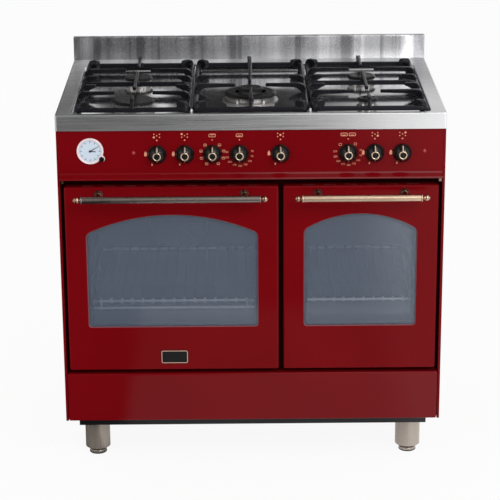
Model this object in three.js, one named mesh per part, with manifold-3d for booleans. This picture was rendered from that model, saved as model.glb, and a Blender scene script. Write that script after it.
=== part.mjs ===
// Freestanding gas range, 900 mm wide, with two arched-window ovens, five burners and a drawer.
// Millimetres: X to the right, Y towards the back, Z up. The pieces are placed with Y = 0 at the
// front face of the hob's apron and Z = 0 on the floor. The exported group then shifts them along Y
// so that the middle of the overall depth, handles included, lies at Y = 0.
import * as THREE from 'three';
import { mergeVertices } from 'three/addons/utils/BufferGeometryUtils.js';
import Module from 'manifold-3d';

const wasm = await Module();
wasm.setup();

// ---------------------------------------------------------------- driving dimensions

// Clearances
const SEAT = 0.3; // between two pieces that touch
const RUN = 0.3; // around a turning shaft

// Overall
const RANGE_WIDTH = 900;
const RANGE_DEPTH = 600;
const HOB_HEIGHT = 870;
const SHEET = 1.5;

// Feet and base tray
const FOOT_INSET = 70; // from the side of the hob to a foot's axis
const FOOT_SETBACK = 80; // from the front and from the back to a foot's axis
const SLEEVE_RADIUS = 30;
const SLEEVE_WALL = 3;
const SLEEVE_NUT = 8; // thickness of the threaded plate in the top of a sleeve
const SLEEVE_LIFT = 17; // sleeve's lower edge above the floor
const LEG_HEIGHT = 92; // underside of the base tray
const PAD_RADIUS = 21;
const STEM_RADIUS = 6;
const TRAY_HEIGHT = 20;
const TRAY_SETBACK = 25;
const TRAY_INSET = 30;

// Cabinet
const BODY_INSET = 1; // side panels inside the hob's edge
const CABINET_SETBACK = 4; // front of side panels and control panel behind the apron
const CABINET_REAR = 5; // rear of the side panels in front of the hob's rear
const SIDE_RETURN = 6; // visible width of a side panel's folded front edge
const SIDE_LIP = 15;
const REAR_RETURN = 14;
const FRAME_SETBACK = 42; // front face of the plate behind the doors
const FRAME_FLANGE = 20;
const LOUVRE_COLUMNS = 3;
const LOUVRE_ROWS = 3;
const LOUVRE_SPACING = 170; // between columns
const LOUVRE_PITCH = 16; // between rows
const LOUVRE_LENGTH = 90;
const LOUVRE_HEIGHT = 5;
const LOUVRE_DROP = 60; // first row below the rear panel's top

// Doors and drawer
const DOOR_SIDE_GAP = 8;
const DOOR_MIDDLE_GAP = 11;
const RIGHT_DOOR_WIDTH = 361;
const DOOR_SHELL_DEPTH = 30;
const DOOR_PAN_DEPTH = 6;
const DOOR_ROUND = 3; // rounding of the enamelled front edges
const PAN_FLANGE = 14;
const PANEL_DOOR_GAP = 18;
const DOOR_DRAWER_GAP = 10;
const DRAWER_HEIGHT = 121;
const DRAWER_TRAY_GAP = 1;
const WINDOW_SIDE_MARGIN = 49;
const WINDOW_BOTTOM_MARGIN = 109;
const WINDOW_TOP_MARGIN = 69;
const WINDOW_CORNER = 8;
const WINDOW_RIM = 3.5; // depth of the folded rim round a window
const LEFT_ARCH_RISE = 45;
const RIGHT_ARCH_RISE = 38;
const GLASS = 4;
const GLASS_LAP = 12;
const HINGE_SETBACK = 14; // hinge pin behind the door's front face
const HINGE_LIFT = 14; // hinge pin above the door's lower edge
const HINGE_INSET = 42; // hinge arm in from a door's side
const HINGE_ARM = 8;
const HINGE_ARM_HEIGHT = 12;
const HINGE_PIN_RADIUS = 3;
const HINGE_PLAY = 1.5; // beside the arm
const HINGE_CHEEK = 3;

// Handles
const HANDLE_RADIUS = 8;
const HANDLE_REACH = 45; // bar's axis in front of the door
const HANDLE_DROP = 18; // bar's axis below the door's top edge
const HANDLE_OVERHANG = 24; // from a door's side to the tip of its handle
const HANDLE_POST_INSET = 56; // from the tip of the handle to a post
const HANDLE_COLLAR = 2; // how far a post's collar stands out round the bar
const FINIAL_RADIUS = 7.5;
const COLLAR_HALF = 8; // half the length of a post's collar along the bar
const POST_RADIUS = 6.5;
const ROSETTE_RADIUS = 13;
const ROSETTE_RIM = 2;
const ROSETTE_HEIGHT = 6;

// Oven cavities
const CAVITY_SIDE_MARGIN = 44; // from a door's side to the cavity's wall
const CAVITY_BOTTOM_MARGIN = 52;
const CAVITY_TOP_MARGIN = 58;
const CAVITY_DEPTH = 430;
const CAVITY_CORNER = 10;
const LINER_WALL = 2;
const LINER_FLANGE = 13;
const FAN_COVER_RADIUS = 78;
const FAN_COVER_RISE = 7;
const FAN_SLOTS = 8;
const FAN_SLOT_WIDTH = 7;
const FAN_SLOT_INNER = 30; // radius where a slot starts
const FAN_SLOT_OUTER = 66;
const RACK_FIRST_LEVEL = 54;
const RACK_PITCH = 50;
const RACK_LEVELS = 4;
const RACK_LEVEL_USED = 1;
const LEDGE_WIDTH = 8;
const LEDGE_HEIGHT = 6;
const RAIL_WIRE = 3; // radius of a rack's rim
const RACK_WIRE = 1.7;
const RACK_WIRE_SPACING = 24.5;
const RACK_FRONT_DROP = 18;

// Storage drawer
const DRAWER_BOX_INSET = 44; // from a side panel's skin to the drawer box
const DRAWER_BOX_DEPTH = 460;
const DRAWER_BOX_HEIGHT = 93;
const DRAWER_MOUTH_PLAY = 4;
const RUNNER_HEIGHT = 9.7; // above the base tray's rim
const RUNNER_WIDTH = 12;

// Hob
const APRON_HEIGHT = 38;
const HOB_CORNER = 4;
const WELL_SIDE_MARGIN = 36;
const WELL_FRONT_MARGIN = 14;
const WELL_LENGTH = 486;
const WELL_DROP = 10;
const WELL_CORNER = 14;
const WELL_SLOPE = 5; // how far the well's walls lean inwards
const STOP_RADIUS = 3.5;
const STOP_HEIGHT = 8;
const BACKGUARD_HEIGHT = 59;
const BACKGUARD_DEPTH = 18;

// Burners
const FRONT_BURNER_Y = 108;
const REAR_BURNER_Y = 344;
const WOK_Y = 180;
const CUP_DROP = 22; // depth of a burner's cup below the well
const CROWN_HEIGHT = 14;
const CROWN_WALL = 6;
const PORT_WIDTH = 2.2;
const PORT_DEPTH = 5;
const CAP_THICKNESS = 6.5;
const RAPID_RADIUS = 49;
const SEMI_RADIUS = 35;
const AUX_RADIUS = 24;
const WOK_RADIUS = 62;
const WOK_CENTRE_RADIUS = 31;
const WOK_CENTRE_LIFT = 10; // centre cap above the ring cap

// Grates
const GRATE_MARGIN = 6; // to the well's edge
const GRATE_GAP = 4;
const GRATE_BAR = 10;
const GRATE_BAR_HEIGHT = 13;
const GRATE_FOOT_HEIGHT = 6;
const GRATE_CORNER = 16;
const PAN_PLANE = 42; // pan support above the hob's top
const FINGER_TOP = 9;
const FINGER_BOTTOM = 5;
const FINGER_DEPTH = 20;
const FINGER_REACH_MIN = 30;
const CORNER_ARM = 38;
const CORNER_ARM_TOP = 22;
const CROSS_BAR_TOP = 25;

// Control panel
const PANEL_HEIGHT = 116;
const LEDGE_RISE = 13; // height of the sloped lower ledge
const LEDGE_REACH = 12; // how far it comes forward
const PANEL_FLANGE = 20;
const KNOB_LINE = 57; // knobs' axes below the panel's top
const KNOB_RADIUS = 22;
const KNOB_HEIGHT = 21;
const KNOB_BAR_WIDTH = 8;
const KNOB_BAR_RISE = 6;
const SPINDLE_RADIUS = 4;
const SPINDLE_HOLE = 6;
const SPINDLE_REACH = 15; // spindle inside the knob
// Knob places: insets from the hob's nearer side, and the middle tap's offset from the centre
const LEFT_TAP_INSETS = [233, 297];
const RIGHT_TAP_INSETS = [165, 101.5];
const CENTRE_TAP_OFFSET = 67.5;
const LEFT_SWITCH_INSETS = [360.5, 423];
const RIGHT_SWITCH_INSET = 226.5;
const CLOCK_INSET = 79; // from the side of the hob to the clock's axis
const CLOCK_LINE = 48;
const CLOCK_RADIUS = 31;
const CLOCK_ARBOR = 1.1;
const HOUR_HAND = { length: 14, halfWidth: 1.1, lift: 1.9, clockwise: 95 };
const MINUTE_HAND = { length: 19, halfWidth: 0.9, lift: 3.0, clockwise: 60 };
const LEFT_LAMP_SPACING = 100; // from the clock's axis
const RIGHT_LAMP_INSET = 50; // from the side of the hob
const LAMP_LINE = 53;

// Oven selector and thermostats, behind the control panel
const SWITCH_SETBACK = 16; // behind the panel's face
const SWITCH_HALF = 19;
const SWITCH_DEPTH = 34;
const STRIP_OVERHANG = 30; // of the strip that carries them, past the outer ones
const STRIP_LAP = 5;

// Gas rail
const RAIL_RADIUS = 9;
const RAIL_SETBACK = 62;
const RAIL_DROP = 27; // rail below the spindles
const TAP_WIDTH = 24;
const TAP_LENGTH = 46;
const FEED_RADIUS = 4;
const INLET_INSET = 45; // from the side of the hob to the gas inlet's axis
const INLET_RADIUS = 10.5;

// ---------------------------------------------------------------- derived places

const apronBottom = HOB_HEIGHT - APRON_HEIGHT;
const trayTop = LEG_HEIGHT + TRAY_HEIGHT;
const drawerBottom = trayTop + DRAWER_TRAY_GAP;
const drawerTop = drawerBottom + DRAWER_HEIGHT;
const doorBottom = drawerTop + DOOR_DRAWER_GAP;
const panelBottom = apronBottom - PANEL_HEIGHT;
const doorTop = panelBottom - PANEL_DOOR_GAP;
const doorDepth = DOOR_SHELL_DEPTH + DOOR_PAN_DEPTH;
const sideOuter = RANGE_WIDTH / 2 - BODY_INSET;
const sideInner = sideOuter - SIDE_RETURN;
const cabinetRear = RANGE_DEPTH - CABINET_REAR;
const hingeZ = doorBottom + HINGE_LIFT;
const wellFloor = HOB_HEIGHT - WELL_DROP;
const wellHalf = RANGE_WIDTH / 2 - WELL_SIDE_MARGIN;
const wellRear = WELL_FRONT_MARGIN + WELL_LENGTH;
const knobZ = apronBottom - KNOB_LINE;
const knobBackY = CABINET_SETBACK - 1;
const hobSide = RANGE_WIDTH / 2;
const fromLeft = (inset) => inset - hobSide;
const fromRight = (inset) => hobSide - inset;
const tapKnobs = [...LEFT_TAP_INSETS.map(fromLeft), CENTRE_TAP_OFFSET, ...RIGHT_TAP_INSETS.map(fromRight)];
const ovenKnobs = [...LEFT_SWITCH_INSETS.map(fromLeft), fromRight(RIGHT_SWITCH_INSET)];
const clockX = fromLeft(CLOCK_INSET);
const lampXs = [clockX + LEFT_LAMP_SPACING, fromRight(RIGHT_LAMP_INSET)];
const inletX = fromRight(INLET_INSET);
const cavityRear = FRAME_SETBACK + CAVITY_DEPTH;
const runnerTop = trayTop + RUNNER_HEIGHT;
const overallFront = -(HANDLE_REACH + HANDLE_RADIUS + HANDLE_COLLAR);

const rightDoor = { x0: sideInner - DOOR_SIDE_GAP - RIGHT_DOOR_WIDTH, x1: sideInner - DOOR_SIDE_GAP };
const leftDoor = { x0: -sideInner + DOOR_SIDE_GAP, x1: rightDoor.x0 - DOOR_MIDDLE_GAP };

const grateHalf = wellHalf - GRATE_MARGIN;
const grateWidth = (2 * grateHalf - 2 * GRATE_GAP) / 3;
const grateFront = WELL_FRONT_MARGIN + GRATE_MARGIN;
const grateRear = wellRear - GRATE_MARGIN;
const grateCentre = (i) => (i - 1) * (grateWidth + GRATE_GAP);

const burners = [
  { name: 'rapid_front_left', x: grateCentre(0), y: FRONT_BURNER_Y, radius: RAPID_RADIUS, ports: 14 },
  { name: 'semi_rear_left', x: grateCentre(0), y: REAR_BURNER_Y, radius: SEMI_RADIUS, ports: 10 },
  { name: 'aux_front_right', x: grateCentre(2), y: FRONT_BURNER_Y, radius: AUX_RADIUS, ports: 8 },
  { name: 'semi_rear_right', x: grateCentre(2), y: REAR_BURNER_Y, radius: SEMI_RADIUS, ports: 10 },
];
const wok = { name: 'wok_centre', x: grateCentre(1), y: WOK_Y, radius: WOK_RADIUS, ports: 16 };

// ---------------------------------------------------------------- finishes

const finish = (color, roughness, metalness) => ({ color, roughness, metalness });
const RED_ENAMEL = finish(0x73101a, 0.25, 0.1);
const BLACK_ENAMEL = finish(0x161618, 0.35, 0.1);
const BRUSHED_STEEL = finish(0xb4b4b2, 0.35, 0.95);
const GALVANISED = finish(0x9a9d9f, 0.55, 0.8);
const BRONZE = finish(0x8c6c4c, 0.35, 0.9);
const CAST_IRON = finish(0x19191b, 0.7, 0.2);
const BURNER_ALLOY = finish(0xa8a69f, 0.45, 0.8);
const KNOB_BLACK = finish(0x101012, 0.2, 0.0);
const DIAL_WHITE = finish(0xe2e8ec, 0.4, 0.0);
const LAMP_RED = finish(0x8c2416, 0.25, 0.0);
const DOOR_GLASS = finish(0x2b3138, 0.08, 0.0);
const CHROME_WIRE = finish(0xc8c8c8, 0.2, 1.0);
const RUBBER = finish(0x1c1c1c, 0.8, 0.0);
const TAP_BRASS = finish(0xb59a5c, 0.4, 0.9);

// ---------------------------------------------------------------- solid tools

// Closed triangles to a solid: merge shared corners, drop slivers of no area, face outwards.
function solidOf(geometry) {
  const bare = geometry.clone();
  bare.deleteAttribute('normal');
  bare.deleteAttribute('uv');
  const merged = mergeVertices(bare, 1e-4);
  const points = merged.attributes.position;
  const corners = merged.index.array;
  const triangles = [];
  const [a, b, c] = [new THREE.Vector3(), new THREE.Vector3(), new THREE.Vector3()];
  let volume = 0;
  for (let i = 0; i < corners.length; i += 3) {
    const [p, q, r] = corners.slice(i, i + 3);
    if (p === q || q === r || r === p) continue;
    triangles.push([p, q, r]);
    a.fromBufferAttribute(points, p);
    b.fromBufferAttribute(points, q);
    c.fromBufferAttribute(points, r);
    volume += a.dot(b.cross(c));
  }
  const outward = volume < 0 ? triangles.map(([p, q, r]) => [p, r, q]) : triangles;
  return new wasm.Manifold(new wasm.Mesh({
    numProp: 3,
    vertProperties: new Float32Array(points.array),
    triVerts: new Uint32Array(outward.flat()),
  }));
}

const join = (solids) => solids.reduce((sum, next) => sum.add(next));
const cut = (solid, tools) => tools.reduce((rest, tool) => rest.subtract(tool), solid);

const box = (x0, x1, y0, y1, z0, z1) => solidOf(
  new THREE.BoxGeometry(x1 - x0, y1 - y0, z1 - z0).translate((x0 + x1) / 2, (y0 + y1) / 2, (z0 + z1) / 2),
);

const extrude = (shape, depth, curveSegments) => new THREE.ExtrudeGeometry(
  shape, { depth, bevelEnabled: false, curveSegments },
);

// An outline in X and Y, raised along Z.
const slab = (shape, z0, z1, curveSegments = 4) => solidOf(
  extrude(shape, z1 - z0, curveSegments).translate(0, 0, z0),
);

// An outline in X and Z, carried along Y.
const plate = (shape, y0, y1, curveSegments = 4) => solidOf(
  extrude(shape, y1 - y0, curveSegments).rotateX(Math.PI / 2).translate(0, y1, 0),
);

// An outline in Y and Z, carried along X.
const crossSection = new THREE.Matrix4().makeBasis(
  new THREE.Vector3(0, 1, 0), new THREE.Vector3(0, 0, 1), new THREE.Vector3(1, 0, 0),
);
const folded = (shape, x0, x1, curveSegments = 4) => solidOf(
  extrude(shape, x1 - x0, curveSegments).applyMatrix4(crossSection).translate(x0, 0, 0),
);

// A profile of [radius, height] points, turned about an upright axis, about an axis that points
// out of the front, or about one that points to the right.
const profileOf = (points) => points.map(([r, h]) => new THREE.Vector2(r, h));
const lathe = (points, segments) => new THREE.LatheGeometry(profileOf(points), segments);
const turnedUp = (points, x, y, segments = 24) => solidOf(
  lathe(points, segments).rotateX(Math.PI / 2).translate(x, y, 0),
);
const turnedForward = (points, x, y, z, segments = 20) => solidOf(
  lathe(points, segments).rotateX(Math.PI).translate(x, y, z),
);
const turnedAcross = (points, x, y, z, segments = 16) => solidOf(
  lathe(points, segments).rotateZ(-Math.PI / 2).translate(x, y, z),
);
const rod = (radius, length) => [[0, 0], [radius, 0], [radius, length], [0, length]];

// Radius of a faceted bore whose flats clear the corners of the pin that turns in it.
const boreRadius = (pin, facets) => (pin + RUN) / Math.cos(Math.PI / facets);

const outline = (points) => new THREE.Shape(points.map(([u, v]) => new THREE.Vector2(u, v)));

function roundedRect(u0, u1, v0, v1, r) {
  const shape = new THREE.Shape();
  shape.moveTo(u0 + r, v0);
  shape.lineTo(u1 - r, v0);
  shape.absarc(u1 - r, v0 + r, r, -Math.PI / 2, 0);
  shape.absarc(u1 - r, v1 - r, r, 0, Math.PI / 2);
  shape.absarc(u0 + r, v1 - r, r, Math.PI / 2, Math.PI);
  shape.absarc(u0 + r, v0 + r, r, Math.PI, 1.5 * Math.PI);
  return shape;
}

// A rectangle with rounded lower corners whose top is one circular arc.
function archedOutline({ x0, x1, z0, z1, rise, corner }) {
  const half = (x1 - x0) / 2;
  const centre = (x0 + x1) / 2;
  const radius = (half * half + rise * rise) / (2 * rise);
  const sweep = Math.asin(half / radius);
  const shape = new THREE.Shape();
  shape.moveTo(x0 + corner, z0);
  shape.lineTo(x1 - corner, z0);
  shape.absarc(x1 - corner, z0 + corner, corner, -Math.PI / 2, 0);
  shape.lineTo(x1, z1 - rise);
  shape.absarc(centre, z1 - radius, radius, Math.PI / 2 - sweep, Math.PI / 2 + sweep);
  shape.lineTo(x0, z0 + corner);
  shape.absarc(x0 + corner, z0 + corner, corner, Math.PI, 1.5 * Math.PI);
  return shape;
}

// The same arch, larger on every side.
const grown = (arch, by) => ({
  ...arch, x0: arch.x0 - by, x1: arch.x1 + by, z0: arch.z0 - by, z1: arch.z1 + by, corner: arch.corner + by,
});

// A bent tube of six sides along a curve.
function tube(curve, radius, steps) {
  const section = new THREE.Shape();
  section.absarc(0, 0, radius, 0, 2 * Math.PI);
  return solidOf(new THREE.ExtrudeGeometry(section, { extrudePath: curve, steps, curveSegments: 3 }));
}

const range = new THREE.Group();
const assembly = new THREE.Group();
assembly.position.y = -(overallFront + RANGE_DEPTH) / 2;
range.add(assembly);

function addPiece(name, solid, { color, roughness, metalness }) {
  const mesh = solid.getMesh();
  const geometry = new THREE.BufferGeometry();
  geometry.setAttribute('position', new THREE.BufferAttribute(new Float32Array(mesh.vertProperties), 3));
  geometry.setIndex(new THREE.BufferAttribute(new Uint32Array(mesh.triVerts), 1));
  geometry.computeVertexNormals();
  const piece = new THREE.Mesh(geometry, new THREE.MeshStandardMaterial({ color, roughness, metalness }));
  piece.name = name;
  assembly.add(piece);
}

// ---------------------------------------------------------------- cabinet

// One sheet folded round the front into a narrow return with a lip, and inwards at the back.
function sidePanel(side) {
  const front = CABINET_SETBACK;
  const section = [
    [sideOuter, front], [sideOuter, cabinetRear],
    [sideOuter - REAR_RETURN, cabinetRear], [sideOuter - REAR_RETURN, cabinetRear - SHEET],
    [sideOuter - SHEET, cabinetRear - SHEET], [sideOuter - SHEET, front + SHEET],
    [sideInner + SHEET, front + SHEET], [sideInner + SHEET, front + SIDE_LIP],
    [sideInner, front + SIDE_LIP], [sideInner, front],
  ];
  return slab(outline(section.map(([x, y]) => [side * x, y])), trayTop, apronBottom);
}

function backPanel() {
  const half = sideOuter - 2 * SHEET;
  const top = apronBottom - SHEET;
  const sheet = box(-half, half, cabinetRear, cabinetRear + SHEET, trayTop, top);
  const louvres = [];
  for (let column = 0; column < LOUVRE_COLUMNS; column++) {
    const x = (column - (LOUVRE_COLUMNS - 1) / 2) * LOUVRE_SPACING;
    for (let row = 0; row < LOUVRE_ROWS; row++) {
      const z = top - LOUVRE_DROP - row * LOUVRE_PITCH;
      louvres.push(box(x - LOUVRE_LENGTH / 2, x + LOUVRE_LENGTH / 2, cabinetRear - 1, cabinetRear + SHEET + 1,
        z - LOUVRE_HEIGHT, z));
    }
  }
  const inlet = turnedForward(rod(INLET_RADIUS + 2, 6), inletX, cabinetRear + 4, knobZ - RAIL_DROP, 16);
  return cut(sheet, [...louvres, inlet]);
}

// A shallow folded tray under the cabinet: its rim carries the sides, its floor the drawer runners.
function baseTray() {
  const half = sideOuter - TRAY_INSET;
  const rear = cabinetRear - TRAY_INSET;
  const wall = 2;
  const pan = box(-half, half, TRAY_SETBACK, rear, LEG_HEIGHT, trayTop);
  const rim = box(-sideOuter, sideOuter, TRAY_SETBACK, cabinetRear + SHEET, trayTop - wall, trayTop);
  const inside = box(-half + wall, half - wall, TRAY_SETBACK + wall, rear - wall, LEG_HEIGHT + wall,
    trayTop + 1);
  const runners = [-1, 1].map((side) => {
    const outer = sideOuter - SHEET - DRAWER_BOX_INSET;
    const angle = [
      [outer, LEG_HEIGHT + 1], [outer, runnerTop], [outer - RUNNER_WIDTH, runnerTop],
      [outer - RUNNER_WIDTH, runnerTop - wall], [outer - wall, runnerTop - wall],
      [outer - wall, LEG_HEIGHT + 1],
    ];
    return plate(outline(angle.map(([x, z]) => [side * x, z])), FRAME_SETBACK + 6, rear - wall - SEAT);
  });
  return join([cut(join([pan, rim]), [inside]), ...runners]);
}

function footSleeve(x, y) {
  const inner = SLEEVE_RADIUS - SLEEVE_WALL;
  const plateBottom = LEG_HEIGHT - SLEEVE_NUT;
  return turnedUp([
    [STEM_RADIUS + RUN, plateBottom], [inner, plateBottom], [inner, SLEEVE_LIFT],
    [SLEEVE_RADIUS, SLEEVE_LIFT], [SLEEVE_RADIUS, LEG_HEIGHT], [STEM_RADIUS + RUN, LEG_HEIGHT],
    [STEM_RADIUS + RUN, plateBottom],
  ], x, y, 12);
}

function footPad(x, y) {
  const stemTop = LEG_HEIGHT - 2;
  return turnedUp([
    [0, 0], [PAD_RADIUS, 0], [PAD_RADIUS, 7], [PAD_RADIUS - 4, 11], [STEM_RADIUS, 15],
    [STEM_RADIUS, stemTop], [0, stemTop],
  ], x, y, 12);
}

// Section through the panel: upright face, sloped ledge at its foot, flanges turned to the back.
function controlPanel() {
  const half = sideInner - SEAT;
  const face = CABINET_SETBACK;
  const top = apronBottom - SEAT;
  const ledgeFront = face - LEDGE_REACH;
  const nose = 3;
  const back = face + PANEL_FLANGE;
  const section = outline([
    [back, top], [face, top], [face, panelBottom + LEDGE_RISE], [ledgeFront, panelBottom + nose],
    [ledgeFront, panelBottom], [back, panelBottom], [back, panelBottom + SHEET],
    [ledgeFront + SHEET, panelBottom + SHEET], [ledgeFront + SHEET, panelBottom + nose - SHEET / 2],
    [face + SHEET, panelBottom + LEDGE_RISE - SHEET], [face + SHEET, top - SHEET], [back, top - SHEET],
  ]);
  const hole = (x, line, radius, segments = 8) => turnedForward(
    rod(radius, 6), x, face + 4, apronBottom - line, segments,
  );
  return cut(folded(section, -half, half), [
    ...[...tapKnobs, ...ovenKnobs].map((x) => hole(x, KNOB_LINE, SPINDLE_HOLE)),
    ...lampXs.map((x) => hole(x, LAMP_LINE, lampBody + RUN, 8)),
    hole(clockX, CLOCK_LINE, clockCan + RUN, 16),
  ]);
}

// The arm of an oven door's hinge: a bar out of the frame, round at its nose, with a cross pin.
function hingeArm(x) {
  const half = HINGE_ARM_HEIGHT / 2;
  const shape = new THREE.Shape();
  shape.moveTo(FRAME_SETBACK + SHEET, hingeZ - half);
  shape.lineTo(FRAME_SETBACK + SHEET, hingeZ + half);
  shape.lineTo(HINGE_SETBACK, hingeZ + half);
  shape.absarc(HINGE_SETBACK, hingeZ, half, Math.PI / 2, 1.5 * Math.PI);
  const pinHalf = HINGE_ARM / 2 + HINGE_PLAY + HINGE_CHEEK - SEAT;
  return join([
    folded(shape, x - HINGE_ARM / 2, x + HINGE_ARM / 2, 3),
    turnedAcross(rod(HINGE_PIN_RADIUS, 2 * pinHalf), x - pinHalf, HINGE_SETBACK, hingeZ, 6),
  ]);
}

const hingeXs = ({ x0, x1 }) => [x0 + HINGE_INSET, x1 - HINGE_INSET];

function cavityOf({ x0, x1 }) {
  return {
    x0: x0 + CAVITY_SIDE_MARGIN,
    x1: x1 - CAVITY_SIDE_MARGIN,
    z0: doorBottom + CAVITY_BOTTOM_MARGIN,
    z1: doorTop - CAVITY_TOP_MARGIN,
  };
}

const drawerBox = {
  half: sideOuter - SHEET - DRAWER_BOX_INSET,
  z0: runnerTop + SEAT,
  z1: runnerTop + SEAT + DRAWER_BOX_HEIGHT,
};

function frontFrame() {
  const half = sideOuter - SHEET - SEAT;
  const top = panelBottom - 2;
  const [front, back] = [FRAME_SETBACK, FRAME_SETBACK + SHEET];
  const mouths = [leftDoor, rightDoor].map(cavityOf).map(({ x0, x1, z0, z1 }) => {
    const around = LINER_WALL + SEAT;
    const round = CAVITY_CORNER + around;
    const mouth = roundedRect(x0 - around, x1 + around, z0 - around, z1 + around, round);
    return plate(mouth, front - 1, back + 1, 1);
  });
  const drawerMouth = box(-drawerBox.half - DRAWER_MOUTH_PLAY, drawerBox.half + DRAWER_MOUTH_PLAY,
    front - 1, back + 1, drawerBox.z0 - DRAWER_MOUTH_PLAY, drawerBox.z1 + DRAWER_MOUTH_PLAY);
  return join([
    cut(box(-half, half, front, back, trayTop, top), [...mouths, drawerMouth]),
    box(-half, half, front, front + FRAME_FLANGE, top - SHEET, top),
    ...[leftDoor, rightDoor].flatMap(hingeXs).map(hingeArm),
  ]);
}

// ---------------------------------------------------------------- ovens

// Five-sided enamelled box with rack ledges on its walls; the larger oven has a slotted fan cover.
function ovenLiner(door, hasFan) {
  const { x0, x1, z0, z1 } = cavityOf(door);
  const front = FRAME_SETBACK - LINER_WALL;
  const centreX = (x0 + x1) / 2;
  const centreZ = (z0 + z1) / 2;
  const round = CAVITY_CORNER;
  const outer = plate(roundedRect(x0 - LINER_WALL, x1 + LINER_WALL, z0 - LINER_WALL, z1 + LINER_WALL,
    round + LINER_WALL), front, cavityRear + LINER_WALL, 1);
  const flange = plate(roundedRect(x0 - LINER_FLANGE, x1 + LINER_FLANGE, z0 - LINER_FLANGE,
    z1 + LINER_FLANGE, round + LINER_FLANGE), front, FRAME_SETBACK, 1);
  const inside = plate(roundedRect(x0, x1, z0, z1, round), front - 1, cavityRear, 1);
  const ledges = [];
  for (let level = 0; level < RACK_LEVELS; level++) {
    const z = z0 + RACK_FIRST_LEVEL + level * RACK_PITCH - RAIL_WIRE - SEAT;
    for (const [wall, inward] of [[x0, 1], [x1, -1]]) {
      const section = outline([
        [wall - inward, z - LEDGE_HEIGHT], [wall + inward * LEDGE_WIDTH, z - LEDGE_HEIGHT / 2],
        [wall + inward * LEDGE_WIDTH, z], [wall - inward, z],
      ]);
      ledges.push(plate(section, front + 20, cavityRear + 1));
    }
  }
  const shell = join([cut(join([outer, flange]), [inside]), ...ledges]);
  if (!hasFan) return shell;
  const disc = turnedForward([
    [0, -1], [FAN_COVER_RADIUS, -1], [FAN_COVER_RADIUS - 5, FAN_COVER_RISE], [0, FAN_COVER_RISE],
  ], centreX, cavityRear, centreZ, 20);
  const slots = [];
  for (let i = 0; i < FAN_SLOTS; i++) {
    const slot = new THREE.BoxGeometry(FAN_SLOT_WIDTH, FAN_COVER_RISE, FAN_SLOT_OUTER - FAN_SLOT_INNER)
      .translate(0, 0, (FAN_SLOT_OUTER + FAN_SLOT_INNER) / 2)
      .rotateY((2 * Math.PI * i) / FAN_SLOTS)
      .translate(centreX, cavityRear - FAN_COVER_RISE, centreZ);
    slots.push(solidOf(slot));
  }
  return shell.add(cut(disc, slots));
}

// Round rim and wires that run from front to back; the large oven's rack has a second, lower rail
// across its front, on two drops.
function ovenRack(door, hasLowerRail) {
  const { x0, x1, z0 } = cavityOf(door);
  const play = 3;
  const [left, right] = [x0 + play + RAIL_WIRE, x1 - play - RAIL_WIRE];
  const [front, rear] = [FRAME_SETBACK + 14, cavityRear - 12];
  const z = z0 + RACK_FIRST_LEVEL + RACK_LEVEL_USED * RACK_PITCH;
  const wireAlongX = (y, height) => turnedAcross(rod(RAIL_WIRE, right - left), left, y, height, 6);
  const wireAlongY = (x, height, radius, y0, y1, facets = 6) => turnedForward(
    rod(radius, y1 - y0), x, y1, height, facets,
  );
  const parts = [
    wireAlongX(front, z), wireAlongX(rear, z),
    wireAlongY(left, z, RAIL_WIRE, front - RAIL_WIRE, rear + RAIL_WIRE),
    wireAlongY(right, z, RAIL_WIRE, front - RAIL_WIRE, rear + RAIL_WIRE),
  ];
  const count = Math.round((right - left) / RACK_WIRE_SPACING) - 1;
  const pitch = (right - left) / (count + 1);
  for (let i = 1; i <= count; i++) {
    parts.push(wireAlongY(left + i * pitch, z, RACK_WIRE, front, rear, 4));
  }
  if (!hasLowerRail) return join(parts);
  parts.push(wireAlongX(front, z - RACK_FRONT_DROP));
  for (const x of [left + pitch, right - pitch]) {
    parts.push(turnedUp([[0, z - RACK_FRONT_DROP], [RACK_WIRE, z - RACK_FRONT_DROP], [RACK_WIRE, z], [0, z]],
      x, front, 4));
  }
  return join(parts);
}

// ---------------------------------------------------------------- doors

const windowOf = ({ x0, x1 }, rise) => ({
  x0: x0 + WINDOW_SIDE_MARGIN,
  x1: x1 - WINDOW_SIDE_MARGIN,
  z0: doorBottom + WINDOW_BOTTOM_MARGIN,
  z1: doorTop - WINDOW_TOP_MARGIN,
  rise,
  corner: WINDOW_CORNER,
});

// A pressed enamel front: rounded front edges, folded sides, open at the back.
function pressedFront(x0, x1, z0, z1, depth) {
  const r = DOOR_ROUND;
  const corner = 2;
  const rounded = new THREE.ExtrudeGeometry(
    roundedRect(x0 + r, x1 - r, z0 + r, z1 - r, corner),
    {
      depth: depth + r,
      bevelEnabled: true,
      bevelSize: r,
      bevelThickness: r,
      bevelSegments: 2,
      curveSegments: 1,
    },
  ).rotateX(Math.PI / 2).translate(0, depth + 2 * r, 0);
  const pressed = solidOf(rounded).subtract(box(x0 - 1, x1 + 1, depth, depth + 4 * r, z0 - 1, z1 + 1));
  return pressed.subtract(box(x0 + SHEET, x1 - SHEET, SHEET + 0.5, depth + 1, z0 + SHEET, z1 - SHEET));
}

function doorPanel(door, rise) {
  const { x0, x1 } = door;
  const arch = windowOf(door, rise);
  const shell = pressedFront(x0, x1, doorBottom, doorTop, DOOR_SHELL_DEPTH);
  const rim = plate(archedOutline(grown(arch, SHEET)), SHEET, SHEET + WINDOW_RIM, 7);
  const opening = plate(archedOutline(arch), -1, SHEET + WINDOW_RIM + 1, 7);
  const slotHalf = HINGE_ARM / 2 + HINGE_PLAY;
  const slotFront = HINGE_SETBACK - HINGE_ARM_HEIGHT / 2 - HINGE_PLAY;
  const slots = hingeXs(door).map((x) => box(x - slotHalf, x + slotHalf, slotFront, DOOR_SHELL_DEPTH + 1,
    doorBottom - 1, doorBottom + SHEET + 1));
  return cut(shell.add(rim), [opening, ...slots]);
}

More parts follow.
